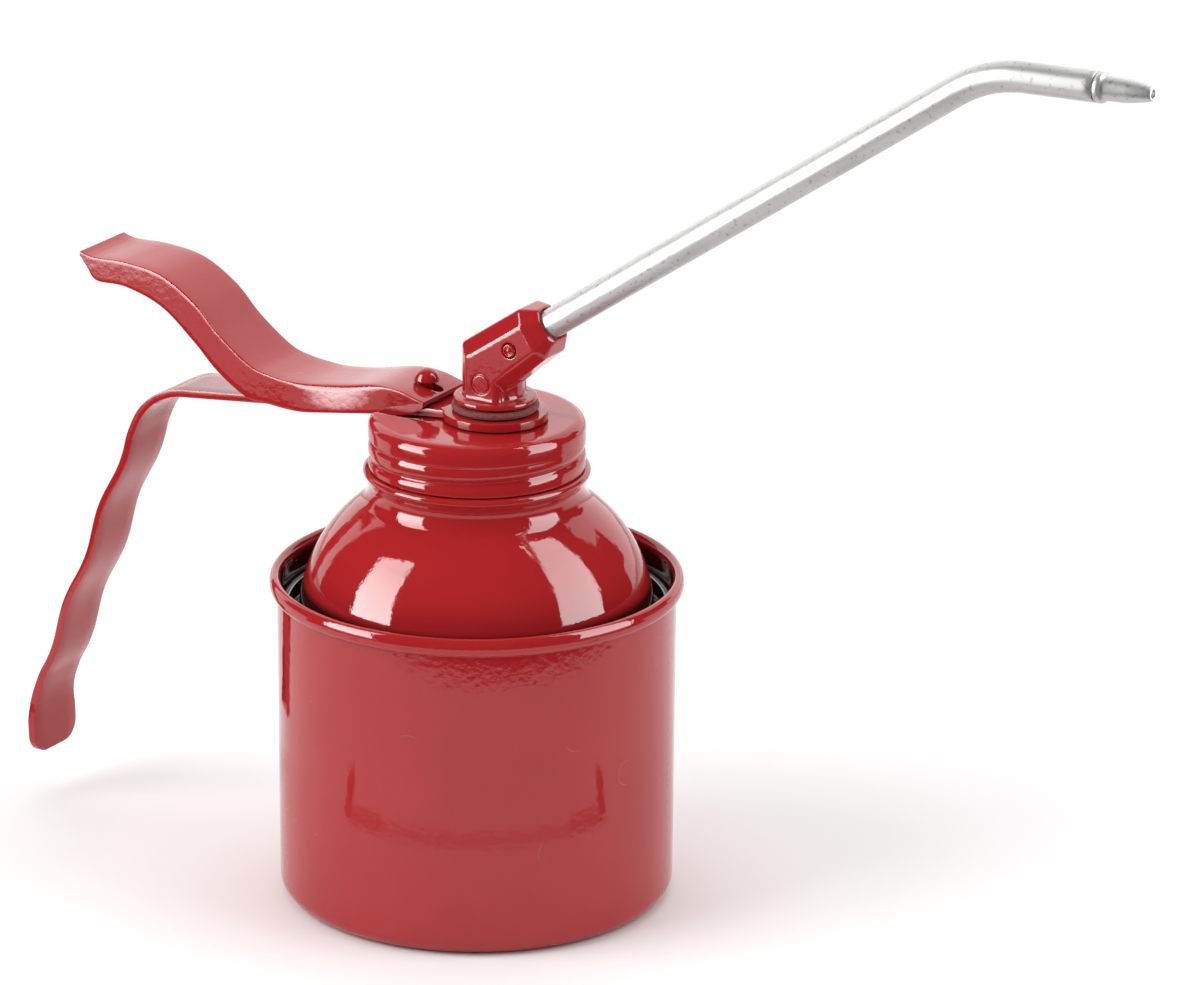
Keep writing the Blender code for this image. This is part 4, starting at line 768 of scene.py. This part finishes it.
def lever():
    """Pressed channel lever, flanges down, with a slot for the piston rod in its nose."""
    rows = []
    for x, top, depth in reversed(lever_stations()):
        soft = max(0.0, 1 - ((x - SOFT_MIDDLE) / SOFT_REACH) ** 2)
        fold = LEVER_FOLD + (LEVER_SOFT_FOLD - LEVER_FOLD) * soft
        flat = LEVER_HALF - fold
        drop = min(fold, depth * fold / (fold + LEVER_SHEET / 2))
        side = [(flat * share, 0.0) for share in (0.33, 0.67)]
        for index in range(7):
            angle = math.pi / 2 * index / 6
            side.append((flat + fold * math.sin(angle), drop * (1 - math.cos(angle))))
        lean = SOFT_LEAN * soft
        side = [(y - lean * (y / LEVER_HALF) ** 4, down) for y, down in side]
        for share in (0.1, 0.25, 0.4, 0.6, 0.8, 1.0):
            side.append((LEVER_HALF - lean * (1 - share) ** 1.3, drop + (depth - drop) * share))
        row = [(x, y, top - down) for y, down in reversed(side)] + [(x, 0.0, top)]
        row += [(x, -y, top - down) for y, down in side]
        rows.append([Vector(point) + FULCRUM for point in row])
    piece = mesh_of("enamelled_lever", *grid(rows), [SHEET_ENAMEL], "lever", "thumb_lever", "red_enamel")
    thicken(piece, LEVER_SHEET)
    rod_at = ROD_X - FULCRUM.x
    outline = arc((rod_at - SLOT_BACK, 0.0), SLOT_HALF, 270, 90, 17)
    outline += arc((rod_at + SLOT_FRONT, 0.0), SLOT_HALF, 90, -90, 17)
    boolean(piece, prism("slot", outline, -12.0, 22.0, FULCRUM))
    round_edges(piece, 0.3)
    return piece


def prism(name, outline, low, high, place, turn=None):
    """A bar along Z whose section is an outline, counted anticlockwise or clockwise, in X and Y."""
    count = len(outline)
    points = [(x, y, z) for z in (low, high) for x, y in outline]
    area = sum(x0 * y1 - x1 * y0 for (x0, y0), (x1, y1) in zip(outline, outline[1:] + outline[:1]))
    faces = [(i, (i + 1) % count, count + (i + 1) % count, count + i) for i in range(count)]
    faces += [tuple(reversed(range(count))), tuple(range(count, 2 * count))]
    if area < 0:
        faces = [tuple(reversed(face)) for face in faces]
    placed = [(turn @ Vector(point) if turn else Vector(point)) + Vector(place) for point in points]
    return mesh_of(name, placed, faces, [], None)


def barrel_turn():
    """Turns Z onto the barrel's axis, with X on its underside."""
    return Matrix.Rotation(math.pi / 2 - BARREL_RISE, 3, "Y")


ELBOW_HALF = 5.8
ELBOW_REAR = 5.5
ELBOW_PAD = 4.2
ELBOW_CHAMFER = 2.1
BARREL_HALF = 5.6
BARREL_TOP_CHAMFER = 3.2
BARREL_DRAFT = math.radians(6.5)
BARREL_NOSE = 3.1
NOSE_END_SHARE = 0.63
COLUMN_RADIUS = 5.75
FLANGE_RADIUS = 8.4
SHANK_RADIUS = 3.8
SPOUT_RADIUS = 3.0
PLUG_ALONG = 7.7
PLUG_DROP = 0.65
MARK_X = 4.4
MARK_Z = 109.0
MARK_RADIUS = 2.0
MARK_HALF = 0.16
# Voxel in millimetres and smoothing passes, first of the casting and then of the paint on it
CASTING_SKIN = (0.14, 60)
PAINT_SKIN = (0.12, 4)


def eight_sided(half_long, half_wide, front, rear_long, rear_wide):
    """A rectangle with its corners cut off, the rear ones by one length along X and one across."""
    return [
        (half_long, front - half_wide), (half_long, half_wide - front), (half_long - front, half_wide),
        (rear_long - half_long, half_wide), (-half_long, half_wide - rear_wide),
        (-half_long, rear_wide - half_wide), (rear_long - half_long, -half_wide),
        (half_long - front, -half_wide),
    ]


def barrel():
    """Eight-sided barrel, deeper towards the column, drawn in at its nose."""
    section = eight_sided(BARREL_HALF, ELBOW_HALF, ELBOW_CHAMFER, BARREL_TOP_CHAMFER, ELBOW_CHAMFER)
    full = BARREL_LENGTH - BARREL_NOSE
    low = -(ELBOW_REAR - BARREL_HALF * math.sin(BARREL_RISE) + 0.6) / math.cos(BARREL_RISE)
    rows = []
    for along, share in ((BARREL_LENGTH, NOSE_END_SHARE), (full, 1.0), (low, 1.0)):
        drop = (full - min(along, full)) * math.tan(BARREL_DRAFT)
        rows.append([((x + (drop if x > 0 else 0.0)) * share, y * share, along) for x, y in section])
    count = len(section)
    points = [barrel_turn() @ Vector(point) + BARREL_TURN for row in rows for point in row]
    faces = []
    for level in range(2):
        for index in range(count):
            after = (index + 1) % count
            faces.append((
                level * count + index, (level + 1) * count + index,
                (level + 1) * count + after, level * count + after,
            ))
    faces += [tuple(range(count)), tuple(reversed(range(2 * count, 3 * count)))]
    piece = mesh_of("barrel", points, faces, [], None)
    side = ELBOW_HALF + 4
    start = ELBOW_HALF - ELBOW_CHAMFER
    shoulder = side - start - ELBOW_REAR
    block = [
        (-ELBOW_REAR, -start), (shoulder, -side), (30.0, -side),
        (30.0, side), (shoulder, side), (-ELBOW_REAR, start),
    ]
    boolean(piece, prism("rear", block, FLANGE_TOP, FLANGE_TOP + 40, (RISER_X, 0, 0)), "INTERSECT")
    return piece


def round_bar(name, radius, low, high, place, turn=None):
    """A round bar along Z, as prism() places it."""
    outline = [
        (radius * math.cos(math.tau * index / FINE), radius * math.sin(math.tau * index / FINE))
        for index in range(FINE)
    ]
    return prism(name, outline, low, high, place, turn)


def side_place(along, drop, y):
    """A place on the barrel's near side, from its turn."""
    return BARREL_TURN + ALONG_BARREL * along - ABOVE_BARREL * drop + Vector((0.0, y, 0.0))


def soften(obj, voxel, passes):
    """Fuse a casting into one skin and round its edges, as the paint on it does."""
    remesh = obj.modifiers.new("skin", "REMESH")
    remesh.mode = "VOXEL"
    remesh.voxel_size = voxel * MM
    remesh.use_smooth_shade = True
    smooth = obj.modifiers.new("paint", "SMOOTH")
    smooth.factor = 0.5
    smooth.iterations = passes


NEAR_SIDE = Matrix.Rotation(math.pi / 2, 3, "X")


def elbow():
    """Die-cast elbow: a flange and a column with flat sides, and the barrel that holds the spout."""
    here = (RISER_X, 0, 0)
    column_top = BARREL_TURN.z - BARREL_HALF / 4
    outline = [
        (0.0, column_top), (COLUMN_RADIUS, column_top), (COLUMN_RADIUS, FLANGE_TOP + 0.5),
        (COLUMN_RADIUS + 0.15, FLANGE_TOP + 0.15), (COLUMN_RADIUS + 0.5, FLANGE_TOP),
        (FLANGE_RADIUS, FLANGE_TOP), (FLANGE_RADIUS, FLANGE_LOW), (SHANK_RADIUS, FLANGE_LOW),
        (SHANK_RADIUS, FLANGE_LOW - 11), (0.0, FLANGE_LOW - 11),
    ]
    piece = lathe(
        "enamelled_elbow", outline, CASTING_ENAMEL, "head", "spout_elbow", "red_enamel", RISER_X, FINE,
    )
    middle = (ELBOW_PAD - ELBOW_REAR) / 2
    section = eight_sided((ELBOW_PAD + ELBOW_REAR) / 2, ELBOW_HALF, 0.8, ELBOW_CHAMFER, ELBOW_CHAMFER)
    column = prism("column", section, FLANGE_LOW + 0.6, FLANGE_TOP + 9, (RISER_X + middle, 0, 0))
    boolean(piece, column, "UNION")
    boolean(piece, barrel(), "UNION")
    soften(piece, *CASTING_SKIN)
    boolean(piece, round_bar("bore", 1.5, FLANGE_LOW - 15, BARREL_TURN.z, here))
    boolean(piece, round_bar("barrel_bore", 1.5, -1.5, BARREL_LENGTH + 4, BARREL_TURN, barrel_turn()))
    boolean(piece, round_bar(
        "socket", SPOUT_RADIUS + 0.25, BARREL_LENGTH - 6.3, BARREL_LENGTH + 4, BARREL_TURN, barrel_turn(),
    ))
    boolean(piece, round_bar("plug_hole", 1.65, 1.0, 9.8, side_place(PLUG_ALONG, PLUG_DROP, 0.0), NEAR_SIDE))
    at = (MARK_X, 0, MARK_Z)
    mark = round_bar("mark", MARK_RADIUS + MARK_HALF, ELBOW_HALF - 0.3, ELBOW_HALF + 1, at, NEAR_SIDE)
    boolean(mark, round_bar("core", MARK_RADIUS - MARK_HALF, 0.0, ELBOW_HALF + 2, at, NEAR_SIDE))
    boolean(piece, mark)
    soften(piece, *PAINT_SKIN)
    return piece


def plug():
    """Driven plug in the barrel's near side, with a raised ring round a domed centre."""
    low = 1.8
    face = ELBOW_HALF - 0.15
    outline = [
        (0.0, face + 0.5), (0.25, face + 0.48), (0.5, face + 0.36), (0.62, face + 0.12), (0.72, face + 0.1),
        (0.85, face + 0.36), (1.0, face + 0.45), (1.18, face + 0.42), (1.32, face + 0.25), (1.4, face),
        (1.4, low), (0.0, low),
    ]
    rows = [ring(radius, height, 0.0, TUBE_SIDES) for radius, height in outline]
    place = side_place(PLUG_ALONG, PLUG_DROP, 0.0)
    rows = [[NEAR_SIDE @ Vector(point) + place for point in row] for row in rows]
    return mesh_of("elbow_plug_head", *grid(rows), [CASTING_ENAMEL], "head", "elbow_plug", "red_enamel")


FIBRE_RADIUS = 8.75
FIBRE_EDGE = 0.4
FIBRE_STRETCH = 1.6


def fibre_ring():
    """Fibre ring under the elbow, squeezed a little proud at its edge."""
    inner = SHANK_RADIUS + CLEARANCE
    edge = FIBRE_RADIUS - FIBRE_EDGE
    half = (GASKET_HIGH - GASKET_LOW) / 2
    middle = GASKET_LOW + half
    outline = [(inner, GASKET_HIGH), (edge, GASKET_HIGH)]
    outline += arc((edge, middle), FIBRE_EDGE, 80, -80, 9)
    outline = [
        (r, z if abs(z - GASKET_LOW - half) > FIBRE_EDGE + 0.01 else middle + (z - middle) * FIBRE_STRETCH)
        for r, z in outline
    ]
    outline += [(edge, GASKET_LOW), (inner, GASKET_LOW), (inner, GASKET_HIGH)]
    return lathe("fibre_ring", outline, RED_FIBRE, "head", "elbow_gasket", "red_fibre", RISER_X)


ROD_RADIUS = 1.4
ROD_HEAD = 2.6
ROD_PAINTED = 5.0
ROD_SHOULDER = box_mm("piston")[1].z + CLEARANCE


def rod():
    """Steel rod with a painted button head that the lever's fork lifts."""
    low, high = (corner.z for corner in box_mm("piston_rod"))
    base = high - ROD_HEAD
    neck = base - ROD_PAINTED
    head = [(0.0, high)] + arc((0.0, base), ROD_HEAD, 90, 8, 20)[1:]
    head += [
        (ROD_HEAD - 0.05, base + 0.1), (ROD_HEAD - 0.3, base),
        (ROD_RADIUS + 0.1, base), (ROD_RADIUS, base - 0.1), (ROD_RADIUS, neck),
    ]
    top = lathe("rod_head", head, CASTING_ENAMEL, "pump_rod", None, "red_enamel", ROD_X, FINE)
    shank = [(ROD_RADIUS, neck), (ROD_RADIUS, ROD_SHOULDER), (1.2, ROD_SHOULDER), (1.2, low), (0.0, low)]
    shaft = lathe("rod_shank", shank, BARE_STEEL, "pump_rod", "piston_rod", "bright_steel", ROD_X, FINE)
    return top, shaft


SPOUT_STRAIGHT = 108.7
SPOUT_BEND = 28.0
SPOUT_END_RISE = math.radians(2.0)
SPOUT_END_LENGTH = 15.0
SPOUT_SOCKET = 6.0
SPOUT_BORE = 2.3
SPOUT_ROLL = 0.12


def spout_route():
    """(place, heading) down the middle of the spout."""
    start = BARREL_TURN + ALONG_BARREL * (BARREL_LENGTH - SPOUT_SOCKET)
    bend_start = BARREL_TURN + ALONG_BARREL * (BARREL_LENGTH + SPOUT_STRAIGHT)
    route = [(start.lerp(bend_start, index / 30), BARREL_RISE) for index in range(31)]
    centre = bend_start - ABOVE_BARREL * SPOUT_BEND
    for index in range(1, 33):
        rise = BARREL_RISE + (SPOUT_END_RISE - BARREL_RISE) * index / 32
        out = Vector((-math.sin(rise), 0.0, math.cos(rise)))
        route.append((centre + out * SPOUT_BEND, rise))
    heading = Vector((math.cos(SPOUT_END_RISE), 0.0, math.sin(SPOUT_END_RISE)))
    last = route[-1][0]
    for index in range(1, 11):
        route.append((last + heading * SPOUT_END_LENGTH * index / 10, SPOUT_END_RISE))
    return route


def section_at(place, rise, radius):
    """A closed row of points round a tube's middle line."""
    above = Vector((-math.sin(rise), 0.0, math.cos(rise)))
    row = []
    for index in range(TUBE_SIDES + 1):
        angle = math.tau * index / TUBE_SIDES
        row.append(place + above * radius * math.cos(angle) + Vector((0.0, radius * math.sin(angle), 0.0)))
    return row


def unroll(obj, rows, around_mm):
    """UVs in metres, round the tube and along it, for patterns that follow it."""
    wide = len(rows[0])
    along = [0.0]
    for upper, lower in zip(rows, rows[1:]):
        along.append(along[-1] + (Vector(lower[0]) - Vector(upper[0])).length * MM)
    around = around_mm * MM
    places = KDTree(len(rows) * wide)
    for r, row in enumerate(rows):
        for c, point in enumerate(row):
            places.insert(Vector(point) * MM, r * wide + c)
    places.balance()
    layer = obj.data.uv_layers.new(name="unrolled")
    for face in obj.data.polygons:
        corners = []
        for vertex in face.vertices:
            r, c = divmod(places.find(obj.data.vertices[vertex].co)[1], wide)
            corners.append((c / (wide - 1) * around, along[r]))
        last = max(u for u, v in corners)
        for index, (u, v) in zip(face.loop_indices, corners):
            layer.data[index].uv = (u + around if last - u > around / 2 else u, v)


def spout():
    """Bent aluminium tube with a bore, its open end rolled in a little on the jet."""
    route = spout_route()
    rows = [section_at(place, rise, SPOUT_RADIUS) for place, rise in route]
    end, rise = route[-1]
    heading = Vector((math.cos(rise), 0.0, math.sin(rise)))
    rows.append(section_at(end + heading * SPOUT_ROLL, rise, SPOUT_RADIUS - SPOUT_ROLL))
    rows.append(section_at(end + heading * SPOUT_ROLL, rise, SPOUT_BORE + 0.05))
    rows += [section_at(place, rise, SPOUT_BORE) for place, rise in reversed(route)]
    rows.append(rows[0])
    piece = mesh_of("aluminium_spout", *grid(rows), [TUBE_ALUMINIUM], "head", "spout_tube", "bare_aluminium")
    unroll(piece, rows, math.tau * SPOUT_RADIUS)
    return piece


JET_RADIUS = 2.3
# Along the jet from the tube's end, and its radius there, outside and then back through the bore
JET_OUTLINE = (
    (-5.0, 0.5), (-5.0, 2.0), (0.35, 2.0), (0.4, 2.85), (0.6, 3.0), (1.4, 3.0), (1.75, 2.85), (2.0, 2.5),
    (2.6, 2.35), (6.6, 2.28), (7.2, 2.2), (8.6, 2.02), (10.4, 1.7), (11.5, 1.42), (11.85, 1.28),
    (12.0, 1.1), (11.97, 0.95), (11.8, 0.85), (9.0, 0.8), (6.0, 0.5), (-5.0, 0.5),
)


def jet():
    """Drawn jet in the end of the spout, with a collar, a straight barrel and a tapered tip."""
    end, rise = spout_route()[-1]
    heading = Vector((math.cos(rise), 0.0, math.sin(rise)))
    rows = [section_at(end + heading * along, rise, radius) for along, radius in JET_OUTLINE]
    piece = mesh_of("aluminium_jet", *grid(rows), [JET_ALUMINIUM], "head", "nozzle_tip", "bare_aluminium")
    unroll(piece, rows, math.tau * JET_RADIUS)
    return piece


INNER_FINISHES = {
    "cap_gasket": BLACK_RUBBER, "gland_packing": BLACK_RUBBER, "piston_cup": BLACK_RUBBER,
    "pump_gasket": RED_FIBRE, "pump_body": ZINC, "rod_gland": BRASS, "pump_cylinder": BRASS, "piston": BRASS,
    "foot_valve": BRASS, "strainer": BRASS, "dip_tube": ZINC, "piston_nut": BARE_STEEL,
    "return_spring": BARE_STEEL, "delivery_spring": BARE_STEEL, "suction_ball": BARE_STEEL,
    "delivery_ball": BARE_STEEL,
}


def dress_inner_nodes():
    """The nodes inside the can keep their shape and get their own metal, rubber or fibre."""
    for name, material in INNER_FINISHES.items():
        node = frame["nodes"][name]
        node.data.materials.clear()
        node.data.materials.append(material)


def toward(azimuth, elevation=0.0):
    """Direction at an azimuth clockwise from the camera, seen from above, and an elevation."""
    turn = math.radians(VIEW_AZIMUTH)
    ahead = Vector((math.sin(turn), -math.cos(turn), 0.0))
    right = Vector((math.cos(turn), math.sin(turn), 0.0))
    level = ahead * math.cos(math.radians(azimuth)) + right * math.sin(math.radians(azimuth))
    return level * math.cos(math.radians(elevation)) + Vector((0, 0, math.sin(math.radians(elevation))))


def camera():
    """The photograph's camera: a long lens, a little above the can and to its right."""
    back = toward(0.0, VIEW_ELEVATION)
    right = toward(90.0)
    up = back.cross(right)
    roll = math.radians(VIEW_ROLL)
    across = right * math.cos(roll) + up * math.sin(roll)
    over = up * math.cos(roll) - right * math.sin(roll)
    place = Vector((0, 0, AIM_HEIGHT)) + back * VIEW_DISTANCE + right * AIM_RIGHT + up * AIM_UP
    data = bpy.data.cameras.new("photo_camera")
    data.lens = LENS
    data.sensor_width = 36.0
    data.sensor_fit = "HORIZONTAL"
    obj = bpy.data.objects.new("photo_camera", data)
    turn = Matrix((across, over, back)).transposed().to_4x4()
    obj.matrix_world = Matrix.Translation(place * MM) @ turn
    bpy.context.scene.collection.objects.link(obj)
    bpy.context.scene.camera = obj


ROOM_DISTANCE = 2600.0
BACKDROP_DISTANCE = 2500.0
WING_DISTANCE = 2450.0
FLAG_DISTANCE = 2400.0
BACKDROP_LIGHT = 1.45
CEILING_LIGHT = 0.55
WORLD_LIGHT = 0.55
ROOM_BLACK = 0.004
LIT_POINT = Vector((0, 0, 60.0))
CARD_LIFT = 0.4
# Painted reflection: greys of cards lying on the table, seen only in reflections, that put a darker ring into
# the cup's foot, for its near edge, its sides and its ends
RING_CARD_TONES = (0.58, 0.40, 0.15)
# Azimuth from the camera and distance from the can of the table's edge, as the cup reflects it
TABLE_EDGE = (
    (-100, 224), (-60, 221), (-41, 212), (-20, 201), (5, 197), (30, 197), (55, 200), (80, 210), (100, 224),
)
SOFTBOX_FOOT = 340.0
SOFTBOX_TOP = 900.0
SOFTBOX_EYE = 80.0
# Heights in metres over which a softbox comes up from its dim foot to its full strength
FOOT_DIM = 0.025
FOOT_FULL = 0.065
LAMP_DISTANCE = 1300.0
PAPER = 0.93
# Distance from the can, in metres, over which the table turns from paper to plain white
PAPER_FROM = 0.10
PAPER_TO = 0.30
TABLE_REACH = 3000.0


def stage_mesh(name, points, faces, material, reflected_only=True):
    """A part of the studio. A card that only reflections show is out of sight and casts no light."""
    obj = mesh_of(name, points, faces, [material], None)
    if reflected_only:
        obj.visible_camera = False
        obj.visible_diffuse = False
        obj.visible_transmission = False
        obj.visible_volume_scatter = False
        obj.visible_shadow = False
    return obj


def glow(name, low, high, low_z, high_z, foot=1.0):
    """A lit surface that changes in strength towards its top, and may be dim at its foot."""
    material, tree = new_material(name)
    at = add(tree, "ShaderNodeTexCoord").outputs["Object"]
    height = add(tree, "ShaderNodeSeparateXYZ", {0: at}).outputs[2]
    strength = add(tree, "ShaderNodeMapRange", {0: height, 1: low_z * MM, 2: high_z * MM, 3: low, 4: high})
    edge = add(tree, "ShaderNodeMapRange", {0: height, 1: FOOT_DIM, 2: FOOT_FULL, 3: foot, 4: 1.0})
    strength = add(tree, "ShaderNodeMath", {0: strength.outputs[0], 1: edge.outputs[0]}, operation="MULTIPLY")
    finish_material(tree, add(tree, "ShaderNodeEmission", {"Strength": strength.outputs[0]}))
    return material


def softbox(name, corners, low, high):
    """A tall softbox, from its foot's two azimuths to the azimuth and elevation of its top corners."""
    (foot_a, foot_b), (top_a, rise_a), (top_b, rise_b) = corners
    eye = Vector((0, 0, SOFTBOX_EYE))
    feet = [toward(foot) * SOFTBOX_FOOT for foot in (foot_a, foot_b)]
    tops = [eye + toward(top, rise) * SOFTBOX_TOP for top, rise in ((top_a, rise_a), (top_b, rise_b))]
    rows = []
    for index in range(13):
        share = index / 12
        left = tops[0].lerp(feet[0], share)
        right = tops[1].lerp(feet[1], share)
        rows.append([left.lerp(right, part / 6) for part in range(7)])
    points, faces = grid(rows)
    return stage_mesh(name, points, faces, glow(name + "_lamp", low, high, 0.0, 500.0, 0.06))


def even_steps(start, end, count):
    """Even steps between two numbers, both ends included."""
    return [start + (end - start) * index / (count - 1) for index in range(count)]


def shell_points(azimuths, elevations, distance):
    """A piece of a sphere about the can, through azimuths and elevations."""
    return grid([[LIT_POINT + toward(a, e) * distance for a in azimuths] for e in elevations])


def table_card(name, near, far, material):
    """A card that lies on the table, between two rows of (azimuth, distance)."""
    lift = Vector((0, 0, CARD_LIFT))
    rows = [[toward(azimuth) * distance + lift for azimuth, distance in row] for row in (near, far)]
    return stage_mesh(name, *grid(rows), material)


def flat_paint(name, tone):
    """A matt grey that gives off no light."""
    material, tree = new_material(name)
    finish_material(tree, add(tree, "ShaderNodeBsdfDiffuse", {"Color": (tone, tone, tone, 1.0)}))
    return material


def cards():
    """What the can reflects: the dark room, the white backdrop, the table's edge, and cards that paint a
    darker ring and a dark stripe into the cup's reflection.
    """
    dark = flat_paint("dark_room", ROOM_BLACK)
    behind = even_steps(127, 233, 25)
    stage_mesh(
        "room_front", *shell_points(even_steps(-127, 127, 61), even_steps(90, -5, 25), ROOM_DISTANCE), dark,
    )
    stage_mesh(
        "room_above", *shell_points(behind, even_steps(90, 55, 9), ROOM_DISTANCE),
        glow("ceiling_grey", CEILING_LIGHT, CEILING_LIGHT, 0.0, 1.0),
    )
    stage_mesh("flag", *shell_points(even_steps(125, 135, 11), even_steps(8, 26, 7), FLAG_DISTANCE), dark)
    edge = smooth_through(TABLE_EDGE, 8)
    table_card("table_edge", edge, [(azimuth, BACKDROP_DISTANCE) for azimuth, distance in edge], dark)
    near, side, end = [flat_paint("reflected_ring_grey", tone) for tone in RING_CARD_TONES]
    # Painted reflection: these cards exist only in reflections, to put a darker ring round the cup's foot and
    # a dark stripe at its left
    for name, first, last, inner, outer, paint in (
        ("reflected_ring_front", -46, 46, 97.0, 104.0, near), ("reflected_ring_left", -64, -46, 97.0, 107.0, side),
        ("reflected_ring_right", 46, 64, 97.0, 107.0, side), ("reflected_ring_left_end", -67, -63, 99.0, 128.0, end),
        ("reflected_ring_right_end", 63, 67, 99.0, 128.0, end), ("reflected_dark_stripe", -138, -124, 128.0, 200.0, dark),
    ):
        around = even_steps(first, last, 25)
        rows = [[(azimuth, distance) for azimuth in around] for distance in (inner, outer)]
        table_card(name, *rows, paint)
    stage_mesh(
        "backdrop", *shell_points(behind, even_steps(55, -5, 13), BACKDROP_DISTANCE),
        glow("backdrop_white", BACKDROP_LIGHT, BACKDROP_LIGHT, 0.0, 1.0),
    )
    stage_mesh(
        "backdrop_wing", *shell_points(even_steps(120, 127, 8), even_steps(42, 27, 7), WING_DISTANCE),
        glow("wing_white", BACKDROP_LIGHT, BACKDROP_LIGHT, 0.0, 1.0),
    )
    softbox("left_softbox", ((-52, -83), (-66, 52), (-93, 40)), 17.0, 10.0)
    softbox("right_softbox", ((53, 85), (76, 68), (108, 54)), 9.5, 7.0)


def studio():
    """A white table and backdrop, two softboxes and the dark room behind the camera."""
    scene = bpy.context.scene
    scene.view_settings.view_transform = "Standard"
    cards()

    floor, tree = new_material("white_table")
    path = add(tree, "ShaderNodeLightPath")
    at = add(tree, "ShaderNodeTexCoord").outputs["Object"]
    away = add(tree, "ShaderNodeVectorMath", {0: at}, operation="LENGTH").outputs[1]
    far = add(tree, "ShaderNodeMapRange", {
        0: away, 1: PAPER_FROM, 2: PAPER_TO,
    }, interpolation_type="SMOOTHSTEP").outputs[0]
    seen = add(tree, "ShaderNodeMath", {
        0: path.outputs["Is Camera Ray"], 1: far,
    }, operation="MULTIPLY").outputs[0]
    paper = add(tree, "ShaderNodeBsdfDiffuse", {"Color": (PAPER, PAPER, PAPER, 1.0)}).outputs[0]
    white = add(tree, "ShaderNodeEmission", {"Strength": 1.0}).outputs[0]
    finish_material(tree, add(tree, "ShaderNodeMixShader", {0: seen, 1: paper, 2: white}))
    square = [(TABLE_REACH * x, TABLE_REACH * y, 0) for x, y in ((-1, -1), (1, -1), (1, 1), (-1, 1))]
    stage_mesh("table", square, [(0, 1, 2, 3)], floor, reflected_only=False)

    world = bpy.data.worlds.new("studio_white")
    scene.world = world
    world.use_nodes = True
    tree = world.node_tree
    tree.nodes.clear()
    path = add(tree, "ShaderNodeLightPath")
    shown = add(tree, "ShaderNodeMath", {
        0: path.outputs["Is Camera Ray"], 1: path.outputs["Is Glossy Ray"],
    }, operation="MAXIMUM")
    shown = add(tree, "ShaderNodeMath", {
        0: shown.outputs[0], 1: path.outputs["Is Transmission Ray"],
    }, operation="MAXIMUM")
    strength = add(tree, "ShaderNodeMapRange", {0: shown.outputs[0], 3: WORLD_LIGHT, 4: 1.0})
    white = add(tree, "ShaderNodeBackground", {"Strength": strength.outputs[0]})
    add(tree, "ShaderNodeOutputWorld", {"Surface": white.outputs[0]})

    lamp("key_left", -70, 35, 900.0, 11.0)
    lamp("fill_right", 75, 35, 900.0, 6.0)
    lamp("top", 170, 75, 1200.0, 7.0)


def lamp(name, azimuth, elevation, size, watts):
    """A soft lamp aimed at the can. The softboxes stand for it in reflections."""
    data = bpy.data.lights.new(name, "AREA")
    data.shape = "SQUARE"
    data.size = size * MM
    data.energy = watts
    obj = bpy.data.objects.new(name, data)
    direction = toward(azimuth, elevation)
    obj.location = (LIT_POINT + direction * LAMP_DISTANCE) * MM
    obj.rotation_euler = direction.to_track_quat("Z", "Y").to_euler()
    obj.visible_glossy = False
    bpy.context.scene.collection.objects.link(obj)


def dress():
    """Every piece of the can, each on its body of the model."""
    cup()
    dome()
    gutter_edge()
    cap()
    strap()
    lever()
    rod()
    elbow()
    plug()
    fibre_ring()
    spout()
    jet()
    dress_inner_nodes()


dress()
camera()
studio()
